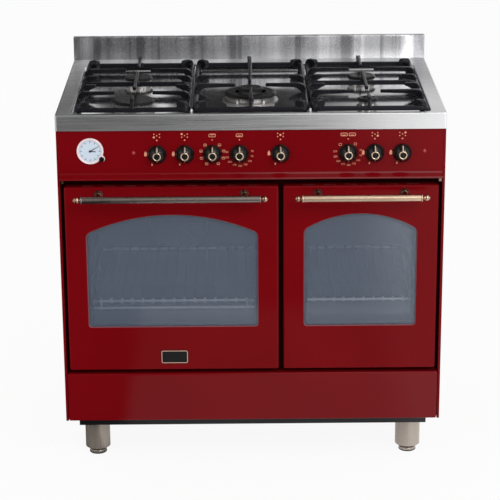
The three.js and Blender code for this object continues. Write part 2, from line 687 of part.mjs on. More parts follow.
function doorGlass(door, rise) {
  const pane = windowOf(door, rise);
  const front = SHEET + WINDOW_RIM + SEAT;
  return plate(roundedRect(pane.x0 - GLASS_LAP, pane.x1 + GLASS_LAP, pane.z0 - GLASS_LAP,
    pane.z1 + GLASS_LAP, 4), front, front + GLASS, 2);
}

// The door's inner pan: flange on the enamel shell, a dish towards the oven, a window, and two
// pairs of cheeks bored for the hinge pins.
function doorPan(door, rise) {
  const { x0, x1 } = door;
  const front = DOOR_SHELL_DEPTH;
  const back = doorDepth;
  const edge = 1;
  const flange = plate(roundedRect(x0 + edge, x1 - edge, doorBottom + edge, doorTop - edge, 3),
    front, front + SHEET, 2);
  const dished = (inset, y0, y1) => plate(
    roundedRect(x0 + inset, x1 - inset, doorBottom + inset, doorTop - inset, 10), y0, y1, 1,
  );
  const hollow = dished(PAN_FLANGE + SHEET, front - 1, back - SHEET);
  const arch = grown(windowOf(door, rise), 6);
  const window = plate(archedOutline(arch), front - 1, back + 1, 6);
  const pan = cut(join([flange, dished(PAN_FLANGE, front, back)]), [hollow, window]);
  const cheekRadius = HINGE_ARM_HEIGHT / 2 + 1;
  const cheeks = [];
  const bores = [];
  const notches = [];
  for (const x of hingeXs(door)) {
    const inner = HINGE_ARM / 2 + HINGE_PLAY;
    for (const side of [-1, 1]) {
      const shape = new THREE.Shape();
      shape.moveTo(front + SHEET, hingeZ + cheekRadius + 14);
      shape.lineTo(HINGE_SETBACK, hingeZ + cheekRadius);
      shape.absarc(HINGE_SETBACK, hingeZ, cheekRadius, Math.PI / 2, 1.5 * Math.PI);
      shape.lineTo(front + SHEET, hingeZ - cheekRadius);
      const [near, far] = [side * inner, side * (inner + HINGE_CHEEK)];
      cheeks.push(folded(shape, x + Math.min(near, far), x + Math.max(near, far), 3));
    }
    const reach = inner + HINGE_CHEEK + 1;
    const bore = rod(boreRadius(HINGE_PIN_RADIUS, 6), 2 * reach);
    bores.push(turnedAcross(bore, x - reach, HINGE_SETBACK, hingeZ, 6));
    notches.push(box(x - inner, x + inner, front - 1, back + 1, doorBottom - 1,
      hingeZ + HINGE_ARM_HEIGHT / 2 + 2));
  }
  return cut(join([cut(pan, notches), ...cheeks]), bores);
}

// Bar with a ball at each end on a thin neck, carried by two turned posts.
function doorHandle({ x0, x1 }) {
  const z = doorTop - HANDLE_DROP;
  const y = -HANDLE_REACH;
  const [start, end] = [x0 + HANDLE_OVERHANG, x1 - HANDLE_OVERHANG];
  const length = end - start;
  const r = FINIAL_RADIUS;
  const ball = [0, 0.25, 0.5, 0.75].map((t) => [
    r * Math.sin(Math.PI * t * 0.93), r * (1 - Math.cos(Math.PI * t * 0.93)),
  ]);
  const neck = 2 * r;
  const tip = [...ball, [r * 0.55, neck], [HANDLE_RADIUS - 1, neck + 2], [HANDLE_RADIUS, neck + 3]];
  const bar = [...tip, ...tip.map(([radius, at]) => [radius, length - at]).reverse()];
  const wide = HANDLE_RADIUS + HANDLE_COLLAR;
  const collar = [
    [0, -COLLAR_HALF], [HANDLE_RADIUS, -COLLAR_HALF], [wide, -0.6 * COLLAR_HALF], [wide, 0.6 * COLLAR_HALF],
    [HANDLE_RADIUS, COLLAR_HALF], [0, COLLAR_HALF],
  ];
  const post = [
    [0, 0], [ROSETTE_RADIUS, 0], [ROSETTE_RADIUS, ROSETTE_RIM], [POST_RADIUS + 1, ROSETTE_HEIGHT],
    [POST_RADIUS - 1, 2 * ROSETTE_HEIGHT], [POST_RADIUS, HANDLE_REACH], [0, HANDLE_REACH],
  ];
  const postXs = [start + HANDLE_POST_INSET, end - HANDLE_POST_INSET];
  return join([
    turnedAcross(bar, start, y, z, 8),
    ...postXs.map((x) => turnedForward(post, x, 0, z, 8)),
    ...postXs.map((x) => turnedAcross(collar, x, y, z, 8)),
  ]);
}

// ---------------------------------------------------------------- drawer

const drawerFront = () => pressedFront(-sideInner + 1, sideInner - 1, drawerBottom, drawerTop, doorDepth);

function drawerBoxSolid() {
  const { half, z0, z1 } = drawerBox;
  const front = doorDepth;
  const rear = front + DRAWER_BOX_DEPTH;
  const wall = SHEET;
  const tray = cut(box(-half, half, front, rear, z0, z1), [
    box(-half + wall, half - wall, front + wall, rear - wall, z0 + wall, z1 + 1),
  ]);
  const closing = box(-sideInner + 2, sideInner - 2, front, front + wall, drawerBottom + 1, drawerTop - 1);
  return join([tray, closing]);
}

// ---------------------------------------------------------------- hob

// Hollow folded top with an apron on all sides and one sunk well, holed for the burners' cups.
function hobTop() {
  const half = RANGE_WIDTH / 2;
  const skin = SHEET + 0.5;
  const outer = slab(roundedRect(-half, half, 0, RANGE_DEPTH, HOB_CORNER), apronBottom, HOB_HEIGHT, 2);
  const inner = slab(roundedRect(-half + skin, half - skin, skin, RANGE_DEPTH - skin, HOB_CORNER - skin),
    apronBottom - 1, HOB_HEIGHT - skin, 2);
  const wellOutline = (grow) => roundedRect(-wellHalf - grow, wellHalf + grow, WELL_FRONT_MARGIN - grow,
    wellRear + grow, WELL_CORNER + grow);
  const pan = slab(wellOutline(skin), wellFloor - skin, HOB_HEIGHT - skin / 2, 3);
  const hollow = taperedWell(wellOutline(0), wellFloor, HOB_HEIGHT + 1, WELL_SLOPE);
  const holes = [...burners, wok].map(({ x, y, radius, ports: facets }) => {
    const r = cupRadius(radius) + SEAT;
    const [low, high] = [wellFloor - WELL_DROP, wellFloor + WELL_DROP];
    return turnedUp([[0, low], [r, low], [r, high], [0, high]], x, y, facets);
  });
  const stops = [];
  for (const side of [-1, 1]) {
    const x = side * (grateWidth + GRATE_GAP) / 2;
    for (const y of [grateFront + 1, grateRear - 1]) {
      stops.push(turnedUp([
        [0, wellFloor - 1], [STOP_RADIUS, wellFloor - 1], [STOP_RADIUS, HOB_HEIGHT + STOP_HEIGHT - 3],
        [STOP_RADIUS - 2, HOB_HEIGHT + STOP_HEIGHT], [0, HOB_HEIGHT + STOP_HEIGHT],
      ], x, y, 8));
    }
  }
  return join([cut(join([outer.subtract(inner), pan]), [hollow, ...holes]), ...stops]);
}

// A straight-sided extrusion whose lower outline is drawn in by the slope.
function taperedWell(shape, z0, z1, slope) {
  const geometry = extrude(shape, z1 - z0, 3).translate(0, 0, z0);
  const points = geometry.attributes.position;
  const centreY = (WELL_FRONT_MARGIN + wellRear) / 2;
  const lengthHalf = WELL_LENGTH / 2;
  for (let i = 0; i < points.count; i++) {
    if (points.getZ(i) > z0 + 0.01) continue;
    points.setX(i, points.getX(i) * (1 - slope / wellHalf));
    points.setY(i, centreY + (points.getY(i) - centreY) * (1 - slope / lengthHalf));
  }
  return solidOf(geometry);
}

// Folded upstand along the back of the hob: front skin, top, rear skin and closed ends.
function backguard() {
  const half = RANGE_WIDTH / 2;
  const front = RANGE_DEPTH - BACKGUARD_DEPTH;
  const top = HOB_HEIGHT + BACKGUARD_HEIGHT;
  const nose = 2;
  const section = outline([
    [front, HOB_HEIGHT], [front, top - nose], [front + nose, top], [RANGE_DEPTH, top],
    [RANGE_DEPTH, HOB_HEIGHT],
  ]);
  const inside = box(-half + SHEET, half - SHEET, front + SHEET, RANGE_DEPTH - SHEET,
    HOB_HEIGHT - 1, top - SHEET - nose);
  return folded(section, -half, half).subtract(inside);
}

// ---------------------------------------------------------------- burners

const crownRadius = (capRadius) => capRadius - 4;
const cupRadius = (capRadius) => crownRadius(capRadius) - 9;
const crownTop = wellFloor + SEAT + CROWN_HEIGHT;

// Radial flame ports: slots through the top edge of a crown.
function ports({ x, y }, inner, outer, top, count) {
  const slots = [];
  for (let i = 0; i < count; i++) {
    const slot = new THREE.BoxGeometry(outer - inner, PORT_WIDTH, PORT_DEPTH + 1)
      .translate((outer + inner) / 2, 0, top - PORT_DEPTH / 2 + 0.5)
      .rotateZ((2 * Math.PI * (i + 0.5)) / count)
      .translate(x, y, 0);
    slots.push(solidOf(slot));
  }
  return slots;
}

// A cup through the hob's well with a flange on it and a ported crown on top, open upwards.
function burnerBase(burner) {
  const { x, y, radius, ports: count } = burner;
  const crown = crownRadius(radius);
  const cup = cupRadius(radius);
  const inner = crown - CROWN_WALL;
  const seat = wellFloor + SEAT;
  const floor = wellFloor - CUP_DROP;
  const body = turnedUp([
    [0, floor], [cup, floor], [cup, seat], [radius + 2, seat], [radius + 2, seat + 2], [crown, seat + 4],
    [crown, crownTop], [inner, crownTop], [inner, seat + 5], [cup - 3, seat],
    [cup - 3, floor + 3], [0, floor + 3],
  ], x, y, burner.ports);
  return cut(body, ports(burner, inner - 2, crown + 2, crownTop, count));
}

function burnerCap({ x, y, radius, ports: facets }) {
  const spigot = (crownRadius(radius) - CROWN_WALL) * Math.cos(Math.PI / facets) - SEAT;
  const under = crownTop + SEAT;
  const top = under + CAP_THICKNESS;
  return turnedUp([
    [0, under - 3], [spigot, under - 3], [spigot, under], [radius, under], [radius, under + 2.5],
    [radius - 3, top], [0, top],
  ], x, y, 16);
}

// The wok burner: a wide ring crown and a taller crown in the middle, on one cup.
function wokBase() {
  const { x, y, radius, ports: count } = wok;
  const seat = wellFloor + SEAT;
  const floor = wellFloor - CUP_DROP;
  const ringOuter = crownRadius(radius);
  const ringInner = ringOuter - CROWN_WALL - 2;
  const centreOuter = crownRadius(WOK_CENTRE_RADIUS);
  const centreInner = centreOuter - CROWN_WALL;
  const centreTop = wokCentreUnder - SEAT;
  const cup = cupRadius(radius);
  const body = turnedUp([
    [0, floor], [cup, floor], [cup, seat], [radius + 4, seat], [radius + 4, seat + 2], [ringOuter, seat + 4],
    [ringOuter, crownTop], [ringInner, crownTop], [ringInner, seat + 4], [centreOuter, seat + 4],
    [centreOuter, centreTop], [centreInner, centreTop], [centreInner, floor + 4], [0, floor + 4],
  ], x, y, count);
  return cut(body, [
    ...ports(wok, ringInner - 2, ringOuter + 2, crownTop, count),
    ...ports(wok, centreInner - 2, centreOuter + 2, centreTop, count / 2),
  ]);
}

const wokRingTop = crownTop + SEAT + CAP_THICKNESS;
const wokCentreUnder = wokRingTop + WOK_CENTRE_LIFT - CAP_THICKNESS;

function wokRingCap() {
  const { x, y, radius } = wok;
  const under = crownTop + SEAT;
  const inner = WOK_CENTRE_RADIUS + 6;
  const spigot = (crownRadius(radius) - CROWN_WALL - 2) * Math.cos(Math.PI / wok.ports) - SEAT;
  return turnedUp([
    [inner, under - 3], [spigot, under - 3], [spigot, under], [radius, under], [radius, under + 2],
    [radius - 5, wokRingTop], [inner, wokRingTop], [inner, under - 3],
  ], x, y, 20);
}

function wokCentreCap() {
  const { x, y } = wok;
  const r = WOK_CENTRE_RADIUS;
  const spigot = (crownRadius(r) - CROWN_WALL) * Math.cos(Math.PI / wok.ports) - SEAT;
  const top = wokCentreUnder + CAP_THICKNESS;
  return turnedUp([
    [0, wokCentreUnder - 3], [spigot, wokCentreUnder - 3], [spigot, wokCentreUnder], [r, wokCentreUnder],
    [r, wokCentreUnder + 2.5], [r - 3, top], [0, top],
  ], x, y, 16);
}

// ---------------------------------------------------------------- grates

const gratePlane = HOB_HEIGHT + PAN_PLANE;
const grateBarBottom = wellFloor + GRATE_FOOT_HEIGHT;
const grateBarTop = grateBarBottom + GRATE_BAR_HEIGHT;
const ribFoot = grateBarBottom + 1; // ribs start just above the underside of the bar

// A cast rib: a side outline of [run, height] carried across a thickness that narrows downwards.
// It starts at a root point and runs in a direction given by an angle in plan.
function rib(points, rootX, rootY, angle, widthTop = FINGER_TOP, widthBottom = FINGER_BOTTOM) {
  const geometry = extrude(outline(points), 1, 1);
  const position = geometry.attributes.position;
  for (let i = 0; i < position.count; i++) {
    const [run, height, across] = [position.getX(i), position.getY(i), position.getZ(i) - 0.5];
    const t = THREE.MathUtils.clamp((height - grateBarBottom) / (gratePlane - grateBarBottom), 0, 1);
    const width = THREE.MathUtils.lerp(widthBottom, widthTop, t);
    position.setXYZ(i, run, -across * width, height);
  }
  return solidOf(geometry.rotateZ(angle).translate(rootX, rootY, 0));
}

// A finger rises from the frame bar, runs level at the pan plane and ends in a deep blunt tip.
function finger(rootX, rootY, angle, length) {
  const rise = 18;
  const under = gratePlane - FINGER_DEPTH;
  return rib([
    [1, ribFoot], [GRATE_BAR - 1, ribFoot], [rise + 8, under + 6], [length - 4, under + 5],
    [length, under], [length, gratePlane], [rise, gratePlane], [rise - 9, gratePlane - 7], [1, grateBarTop],
  ], rootX, rootY, angle);
}

// A finger over the cross bar that points both ways.
function doubleFinger(x, y0, y1) {
  const length = y1 - y0;
  const under = gratePlane - FINGER_DEPTH;
  return rib([
    [0, under], [4, under + 2], [length - 4, under + 2], [length, under],
    [length, gratePlane], [0, gratePlane],
  ], x, y0, Math.PI / 2);
}

// A low arm that braces a corner of the frame.
function cornerArm(x, y, angle) {
  const top = HOB_HEIGHT + CORNER_ARM_TOP;
  return rib([
    [3, ribFoot], [CORNER_ARM - 8, ribFoot], [CORNER_ARM, ribFoot + 12],
    [CORNER_ARM - 4, top], [10, top], [3, grateBarTop],
  ], x, y, angle, 14, 12);
}

// Bar from side to side between two burners, arched above the frame.
function crossBar(x0, x1, y) {
  const top = HOB_HEIGHT + CROSS_BAR_TOP;
  const length = x1 - x0;
  return rib([
    [2, ribFoot], [GRATE_BAR - 1, ribFoot], [24, top - GRATE_BAR_HEIGHT],
    [length - 24, top - GRATE_BAR_HEIGHT], [length - GRATE_BAR + 1, ribFoot], [length - 2, ribFoot],
    [length - 2, grateBarTop], [length - 16, top], [16, top], [2, grateBarTop],
  ], x0, y, 0);
}

// One grate: outer frame on four rubber-shod feet, fingers to each burner, corner arms.
function grate(index, centres) {
  const x = grateCentre(index);
  const [x0, x1] = [x - grateWidth / 2, x + grateWidth / 2];
  const [y0, y1] = [grateFront, grateRear];
  const r = GRATE_CORNER;
  const frame = slab(roundedRect(x0, x1, y0, y1, r), grateBarBottom, grateBarTop, 2).subtract(
    slab(roundedRect(x0 + GRATE_BAR, x1 - GRATE_BAR, y0 + GRATE_BAR, y1 - GRATE_BAR, r - GRATE_BAR + 2),
      grateBarBottom - 1, grateBarTop + 1, 1),
  );
  const parts = [frame];
  const nudge = 0.3 * r;
  for (const [cx, cy, angle] of [[x0, y0, 45], [x1, y0, 135], [x1, y1, 225], [x0, y1, 315]]) {
    const inX = Math.cos(THREE.MathUtils.degToRad(angle));
    const inY = Math.sin(THREE.MathUtils.degToRad(angle));
    parts.push(cornerArm(cx + inX * nudge, cy + inY * nudge, THREE.MathUtils.degToRad(angle)));
    const foot = 14;
    parts.push(turnedUp([
      [0, wellFloor + SEAT], [4.5, wellFloor + SEAT], [4.5, grateBarBottom + 2], [0, grateBarBottom + 2],
    ], cx + inX * foot, cy + inY * foot, 6));
  }
  for (const { y, radius } of centres) {
    const reach = Math.max(FINGER_REACH_MIN, radius - 5);
    parts.push(finger(x0, y, 0, grateWidth / 2 - reach));
    parts.push(finger(x1, y, Math.PI, grateWidth / 2 - reach));
  }
  const [first, last] = [centres[0], centres[centres.length - 1]];
  const frontReach = Math.max(FINGER_REACH_MIN, first.radius - 8);
  const rearReach = Math.max(FINGER_REACH_MIN, last.radius - 5);
  parts.push(finger(x, y0, Math.PI / 2, first.y - frontReach - y0));
  parts.push(finger(x, y1, -Math.PI / 2, y1 - last.y - rearReach));
  if (centres.length > 1) {
    const middle = (y0 + y1) / 2;
    parts.push(crossBar(x0, x1, middle));
    parts.push(doubleFinger(x, first.y + frontReach, last.y - rearReach));
  }
  return join(parts);
}

// ---------------------------------------------------------------- controls

const clockCan = CLOCK_RADIUS - 7;
const lampBody = 3.3;

// Round black knob with a raised pointer bar across its face.
function knob(x) {
  const [r, h] = [KNOB_RADIUS, KNOB_HEIGHT];
  const body = turnedForward([
    [0, 0], [r, 0], [r, 3], [r - 2, 8], [r - 7, 14], [r - 10, h], [0, h],
  ], x, knobBackY, knobZ, 12);
  const half = r - 1;
  const bar = new THREE.Shape();
  bar.moveTo(-knobBackY, -half);
  bar.lineTo(7 - knobBackY, -half);
  bar.quadraticCurveTo(h + KNOB_BAR_RISE - knobBackY, -half * 0.7, h + KNOB_BAR_RISE - knobBackY, 0);
  bar.quadraticCurveTo(h + KNOB_BAR_RISE - knobBackY, half * 0.7, 7 - knobBackY, half);
  bar.lineTo(-knobBackY, half);
  const pointer = solidOf(extrude(bar, KNOB_BAR_WIDTH, 2).applyMatrix4(crossSection).scale(1, -1, 1)
    .translate(x - KNOB_BAR_WIDTH / 2, 0, knobZ));
  const hole = rod(boreRadius(SPINDLE_RADIUS, 6), SPINDLE_REACH + SEAT);
  const bore = turnedForward(hole, x, knobBackY, knobZ, 6);
  const flat = box(x - r, x + r, knobBackY, knobBackY + 10, knobZ - r - 1, knobZ + r + 1);
  return cut(body.add(pointer), [bore, flat]);
}

// Spindle with a collar that stops behind the panel.
const spindle = (x, from) => join([
  turnedForward(rod(SPINDLE_RADIUS, from - knobBackY + SPINDLE_REACH), x, from, knobZ, 6),
  turnedForward(rod(SPINDLE_RADIUS + 6, from - CABINET_SETBACK - SHEET - SEAT), x, from, knobZ, 6),
]);

// Rail across the front with five taps, the inlet pipe to the back and a feed tube to each burner.
function gasRail() {
  const railZ = knobZ - RAIL_DROP;
  const railEnd = 16;
  const x0 = tapKnobs[0] - railEnd;
  const tapFront = RAIL_SETBACK - TAP_LENGTH / 2 - 10;
  const tapRear = tapFront + TAP_LENGTH;
  const parts = [turnedAcross(rod(RAIL_RADIUS, inletX - x0), x0, RAIL_SETBACK, railZ, 8)];
  for (const x of tapKnobs) {
    const body = [
      [tapFront, knobZ - 12], [tapFront, knobZ + 12], [tapFront + 14, knobZ + 14], [tapRear, knobZ + 10],
      [tapRear, knobZ - 8], [RAIL_SETBACK + 8, railZ], [RAIL_SETBACK - 8, railZ],
    ];
    parts.push(folded(outline(body), x - TAP_WIDTH / 2, x + TAP_WIDTH / 2));
    parts.push(spindle(x, tapFront + 1));
  }
  const inletRear = cabinetRear + SHEET + 2;
  parts.push(turnedForward(rod(RAIL_RADIUS, inletRear - RAIL_SETBACK - 1), inletX, inletRear - 1, railZ, 8));
  parts.push(turnedForward(rod(INLET_RADIUS, 26), inletX, inletRear, railZ, 12));
  parts.push(turnedForward(rod(RAIL_RADIUS + 3, 24), inletX, RAIL_SETBACK + 12, railZ, 8));
  const served = [burners[0], burners[1], wok, burners[2], burners[3]];
  served.forEach((burner, i) => {
    const x = tapKnobs[i];
    const end = new THREE.Vector3(burner.x, burner.y, wellFloor - CUP_DROP - SEAT);
    const start = new THREE.Vector3(x, tapRear - 2, knobZ);
    const curve = new THREE.CubicBezierCurve3(
      start, start.clone().add(new THREE.Vector3(0, 30, 0)),
      end.clone().add(new THREE.Vector3(0, 0, -40)), end,
    );
    parts.push(tube(curve, FEED_RADIUS, 4));
  });
  return join(parts);
}

// A steel strip behind the panel that carries the oven selector and the two thermostats.
function ovenControls() {
  const front = CABINET_SETBACK + SWITCH_SETBACK;
  const strip = box(ovenKnobs[0] - STRIP_OVERHANG, ovenKnobs[2] + STRIP_OVERHANG, front, front + SHEET,
    knobZ + SWITCH_HALF - STRIP_LAP, knobZ + SWITCH_HALF + STRIP_LAP);
  return join([
    strip,
    ...ovenKnobs.map((x) => box(x - SWITCH_HALF, x + SWITCH_HALF, front, front + SWITCH_DEPTH,
      knobZ - SWITCH_HALF, knobZ + SWITCH_HALF)),
    ...ovenKnobs.map((x) => spindle(x, front + 1)),
  ]);
}

const clockZ = apronBottom - CLOCK_LINE;
const clockBackY = CABINET_SETBACK - SEAT;
const setKnob = { dx: 26.5, dz: -18, radius: 6, pin: 1.4, pinLength: 9, lugHeight: 5 };
const setKnobX = clockX + setKnob.dx;
const setKnobZ = clockZ + setKnob.dz;

// Bezel with a small lug for the set knob, sunk dial, arbor, and a can behind the panel.
function clockCase() {
  const r = CLOCK_RADIUS;
  return join([
    turnedForward([
      [0, -26], [clockCan, -26], [clockCan, 0], [r, 0], [r, 3], [r - 2.5, 5], [r - 4.5, 4], [r - 4.5, 1.5],
      [0, 1.5],
    ], clockX, clockBackY, clockZ, 16),
    turnedForward(rod(CLOCK_ARBOR, 4.6), clockX, clockBackY, clockZ, 6),
    turnedForward(rod(setKnob.radius + 1.5, setKnob.lugHeight), setKnobX, clockBackY, setKnobZ, 8),
    turnedForward(rod(setKnob.pin, setKnob.pinLength), setKnobX, clockBackY, setKnobZ, 6),
  ]);
}

function clockSetKnob() {
  const { radius, pin, pinLength, lugHeight } = setKnob;
  const back = lugHeight + SEAT;
  const top = pinLength + 2.5;
  const body = turnedForward([
    [0, back], [radius, back], [radius, top - 1.5], [radius - 1.2, top], [0, top],
  ], setKnobX, clockBackY, setKnobZ, 10);
  const hole = rod(boreRadius(pin, 6), pinLength + 2 * SEAT);
  return body.subtract(turnedForward(hole, setKnobX, clockBackY, setKnobZ, 6));
}

// A tapered hand with a bored hub, at its lift above the case's back, turned clockwise from 12.
function clockHand({ length, halfWidth, lift, clockwise }) {
  const thick = 0.7;
  const hub = 2.6;
  const tip = halfWidth / 2;
  const taper = outline([[-halfWidth, 0], [halfWidth, 0], [tip, length], [-tip, length]]);
  const blade = plate(taper, -lift - thick, -lift);
  const disc = turnedForward([[0, lift], [hub, lift], [hub, lift + thick], [0, lift + thick]], 0, 0, 0, 8);
  const bore = turnedForward(rod(boreRadius(CLOCK_ARBOR, 6), lift + thick + 1), 0, 0, 0, 6);
  return blade.add(disc).subtract(bore)
    .rotate([0, clockwise, 0]).translate([clockX, clockBackY, clockZ]);
}

const indicatorLamp = (x) => turnedForward([
  [0, -10], [lampBody, -10], [lampBody, SEAT], [lampBody + 1.4, SEAT], [lampBody + 1.4, 1.2], [0, 3.2],
], x, CABINET_SETBACK, apronBottom - LAMP_LINE, 8);

// ---------------------------------------------------------------- assembly

addPiece('side_panel_left', sidePanel(-1), RED_ENAMEL);
addPiece('side_panel_right', sidePanel(1), RED_ENAMEL);
addPiece('rear_panel', backPanel(), GALVANISED);
addPiece('base_tray', baseTray(), BLACK_ENAMEL);
addPiece('front_frame', frontFrame(), BLACK_ENAMEL);
addPiece('control_panel', controlPanel(), RED_ENAMEL);
addPiece('hob_top', hobTop(), BRUSHED_STEEL);
addPiece('backguard', backguard(), BRUSHED_STEEL);

const footX = RANGE_WIDTH / 2 - FOOT_INSET;
for (const [place, y] of [['front', FOOT_SETBACK], ['rear', RANGE_DEPTH - FOOT_SETBACK]]) {
  for (const [side, x] of [['left', -footX], ['right', footX]]) {
    addPiece(`foot_sleeve_${place}_${side}`, footSleeve(x, y), BRUSHED_STEEL);
    addPiece(`foot_pad_${place}_${side}`, footPad(x, y), RUBBER);
  }
}

const doors = [
  ['left', leftDoor, LEFT_ARCH_RISE],
  ['right', rightDoor, RIGHT_ARCH_RISE],
];
for (const [side, door, rise] of doors) {
  addPiece(`oven_liner_${side}`, ovenLiner(door, side === 'left'), BLACK_ENAMEL);
  addPiece(`oven_rack_${side}`, ovenRack(door, side === 'left'), CHROME_WIRE);
  addPiece(`door_panel_${side}`, doorPanel(door, rise), RED_ENAMEL);
  addPiece(`door_glass_${side}`, doorGlass(door, rise), DOOR_GLASS);
  addPiece(`door_pan_${side}`, doorPan(door, rise), BLACK_ENAMEL);
  addPiece(`door_handle_${side}`, doorHandle(door), BRONZE);
}

addPiece('drawer_front', drawerFront(), RED_ENAMEL);
addPiece('drawer_box', drawerBoxSolid(), GALVANISED);

for (const burner of burners) {
  addPiece(`burner_${burner.name}`, burnerBase(burner), BURNER_ALLOY);
  addPiece(`cap_${burner.name}`, burnerCap(burner), CAST_IRON);
}
addPiece('burner_wok_centre', wokBase(), BURNER_ALLOY);
addPiece('cap_wok_ring', wokRingCap(), CAST_IRON);
addPiece('cap_wok_centre', wokCentreCap(), CAST_IRON);

addPiece('grate_left', grate(0, [burners[0], burners[1]]), CAST_IRON);
addPiece('grate_middle', grate(1, [{ ...wok, radius: WOK_CENTRE_RADIUS + 10 }]), CAST_IRON);
addPiece('grate_right', grate(2, [burners[2], burners[3]]), CAST_IRON);

addPiece('gas_rail', gasRail(), TAP_BRASS);
addPiece('oven_controls', ovenControls(), GALVANISED);
const knobNames = ['front_left', 'rear_left', 'centre', 'front_right', 'rear_right'];
tapKnobs.forEach((x, i) => addPiece(`knob_${knobNames[i]}`, knob(x), KNOB_BLACK));
const ovenKnobNames = ['oven_selector', 'oven_left', 'oven_right'];
ovenKnobs.forEach((x, i) => addPiece(`knob_${ovenKnobNames[i]}`, knob(x), KNOB_BLACK));

addPiece('clock_case', clockCase(), DIAL_WHITE);
addPiece('clock_set_knob', clockSetKnob(), KNOB_BLACK);
addPiece('clock_hour_hand', clockHand(HOUR_HAND), KNOB_BLACK);
addPiece('clock_minute_hand', clockHand(MINUTE_HAND), KNOB_BLACK);
addPiece('lamp_left', indicatorLamp(lampXs[0]), LAMP_RED);
addPiece('lamp_right', indicatorLamp(lampXs[1]), LAMP_RED);

export default range;
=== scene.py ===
"""Freestanding gas range with two ovens: its visible surfaces, finishes, camera and light.

The frame is in metres: X to the right, Y towards the back, Z up, with the floor at Z = 0. The
surfaces are worked out in millimetres from the front face of the hob's apron, and mesh_of brings
them into the frame.
"""
import math

import bmesh
import bpy
import numpy as np
from mathutils import Matrix, Vector


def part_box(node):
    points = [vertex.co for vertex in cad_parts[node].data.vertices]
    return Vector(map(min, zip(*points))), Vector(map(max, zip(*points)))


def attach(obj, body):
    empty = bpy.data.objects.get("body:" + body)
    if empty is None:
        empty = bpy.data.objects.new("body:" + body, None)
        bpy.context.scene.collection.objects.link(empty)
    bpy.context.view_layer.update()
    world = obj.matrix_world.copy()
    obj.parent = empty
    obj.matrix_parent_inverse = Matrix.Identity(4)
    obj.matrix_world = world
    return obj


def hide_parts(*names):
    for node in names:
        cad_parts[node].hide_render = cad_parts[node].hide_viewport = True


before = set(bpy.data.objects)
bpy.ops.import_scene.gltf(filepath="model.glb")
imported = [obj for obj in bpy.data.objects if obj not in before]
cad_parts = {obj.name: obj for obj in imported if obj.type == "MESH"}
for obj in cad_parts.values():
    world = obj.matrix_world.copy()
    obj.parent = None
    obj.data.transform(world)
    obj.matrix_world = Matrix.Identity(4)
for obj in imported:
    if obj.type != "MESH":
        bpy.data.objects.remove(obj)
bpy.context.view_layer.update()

MM = 0.001
BODY = "cabinet"
APRON_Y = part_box("hob_top")[0].y  # in metres

# ------------------------------------------------------------------ camera

CAMERA_PLACE = (-0.027, -4.6395, 1.965)
CAMERA_DEGREES = (-0.30, -18.04, 0.36)  # yaw, pitch and roll
LENS_MM = 141.3
SENSOR_MM = 36


def place_camera():
    """A long lens in front of the range, a little left of its middle, looking down on it."""
    yaw, pitch, roll = (math.radians(a) for a in CAMERA_DEGREES)
    turn = (
        Matrix.Rotation(yaw, 3, "Z")
        @ Matrix.Rotation(pitch, 3, "X")
        @ Matrix.Rotation(roll, 3, "Y")
        @ Matrix.Rotation(math.pi / 2, 3, "X")
    )
    data = bpy.data.cameras.new("camera")
    data.lens = LENS_MM
    data.sensor_width = SENSOR_MM
    camera = bpy.data.objects.new("camera", data)
    camera.matrix_world = Matrix.Translation(CAMERA_PLACE) @ turn.to_4x4()
    bpy.context.scene.collection.objects.link(camera)
    bpy.context.scene.camera = camera


place_camera()

# ------------------------------------------------------------------ curves and surfaces


def extent(node):
    """Low and high corner of a CAD piece, in millimetres from the apron's front face."""
    low, high = (np.array(corner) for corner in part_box(node))
    return (low - (0, APRON_Y, 0)) / MM, (high - (0, APRON_Y, 0)) / MM


def front_area(node):
    """The area (x0, x1, z0, z1) that a CAD piece takes up, seen from the front."""
    low, high = extent(node)
    return low[0], high[0], low[2], high[2]


def bend(start, corner, end, steps):
    """The parabola from A to B with the corner P as its control point:
    (1-t)^2 A + 2t(1-t) P + t^2 B."""
    start, corner, end = (np.asarray(point, float) for point in (start, corner, end))
    t = np.linspace(0, 1, steps + 1)[:, None]
    return (1 - t) ** 2 * start + 2 * t * (1 - t) * corner + t**2 * end


def filleted(points, radii, steps, closed=False):
    """A line of straight stretches with its corners rounded.

    Each corner with radius r gives way to the bend from a point r before it to a point r after it.
    """
    points = np.asarray(points, float)
    radii = np.broadcast_to(radii, len(points))
    line = []
    for i, (corner, radius) in enumerate(zip(points, radii)):
        at_end = not closed and i in (0, len(points) - 1)
        if at_end or radius <= 0:
            line.append(corner[None])
            continue
        before = points[i - 1] - corner
        after = points[(i + 1) % len(points)] - corner
        near = np.linalg.norm(before), np.linalg.norm(after)
        reach = min(radius, 0.49 * near[0], 0.49 * near[1])
        start = corner + before / near[0] * reach
        end = corner + after / near[1] * reach
        line.append(bend(start, corner, end, steps))
    return np.concatenate(line)


def grid(points, closed):
    """Corners and faces of a surface given as points[u, v], whose rows are rings.

    A closed surface joins its last ring to its first; any other gets a flat cap at each end.
    """
    rows, columns = points.shape[:2]
    u = np.arange(rows if closed else rows - 1)[:, None]
    v = np.arange(columns)[None, :]
    u2, v2 = (u + 1) % rows, (v + 1) % columns
    quads = np.stack([u * columns + v, u * columns + v2, u2 * columns + v2, u2 * columns + v], -1)
    faces = quads.reshape(-1, 4).tolist()
    if not closed:
        faces.append(list(range(columns))[::-1])
        faces.append([(rows - 1) * columns + i for i in range(columns)])
    return points.reshape(-1, 3), faces


AXES = {
    "up": np.array([[1, 0, 0], [0, 1, 0], [0, 0, 1]], float),
    "front": np.array([[1, 0, 0], [0, 0, 1], [0, -1, 0]], float),
    "back": np.array([[-1, 0, 0], [0, 0, 1], [0, 1, 0]], float),
    "right": np.array([[0, 1, 0], [0, 0, 1], [1, 0, 0]], float),
}


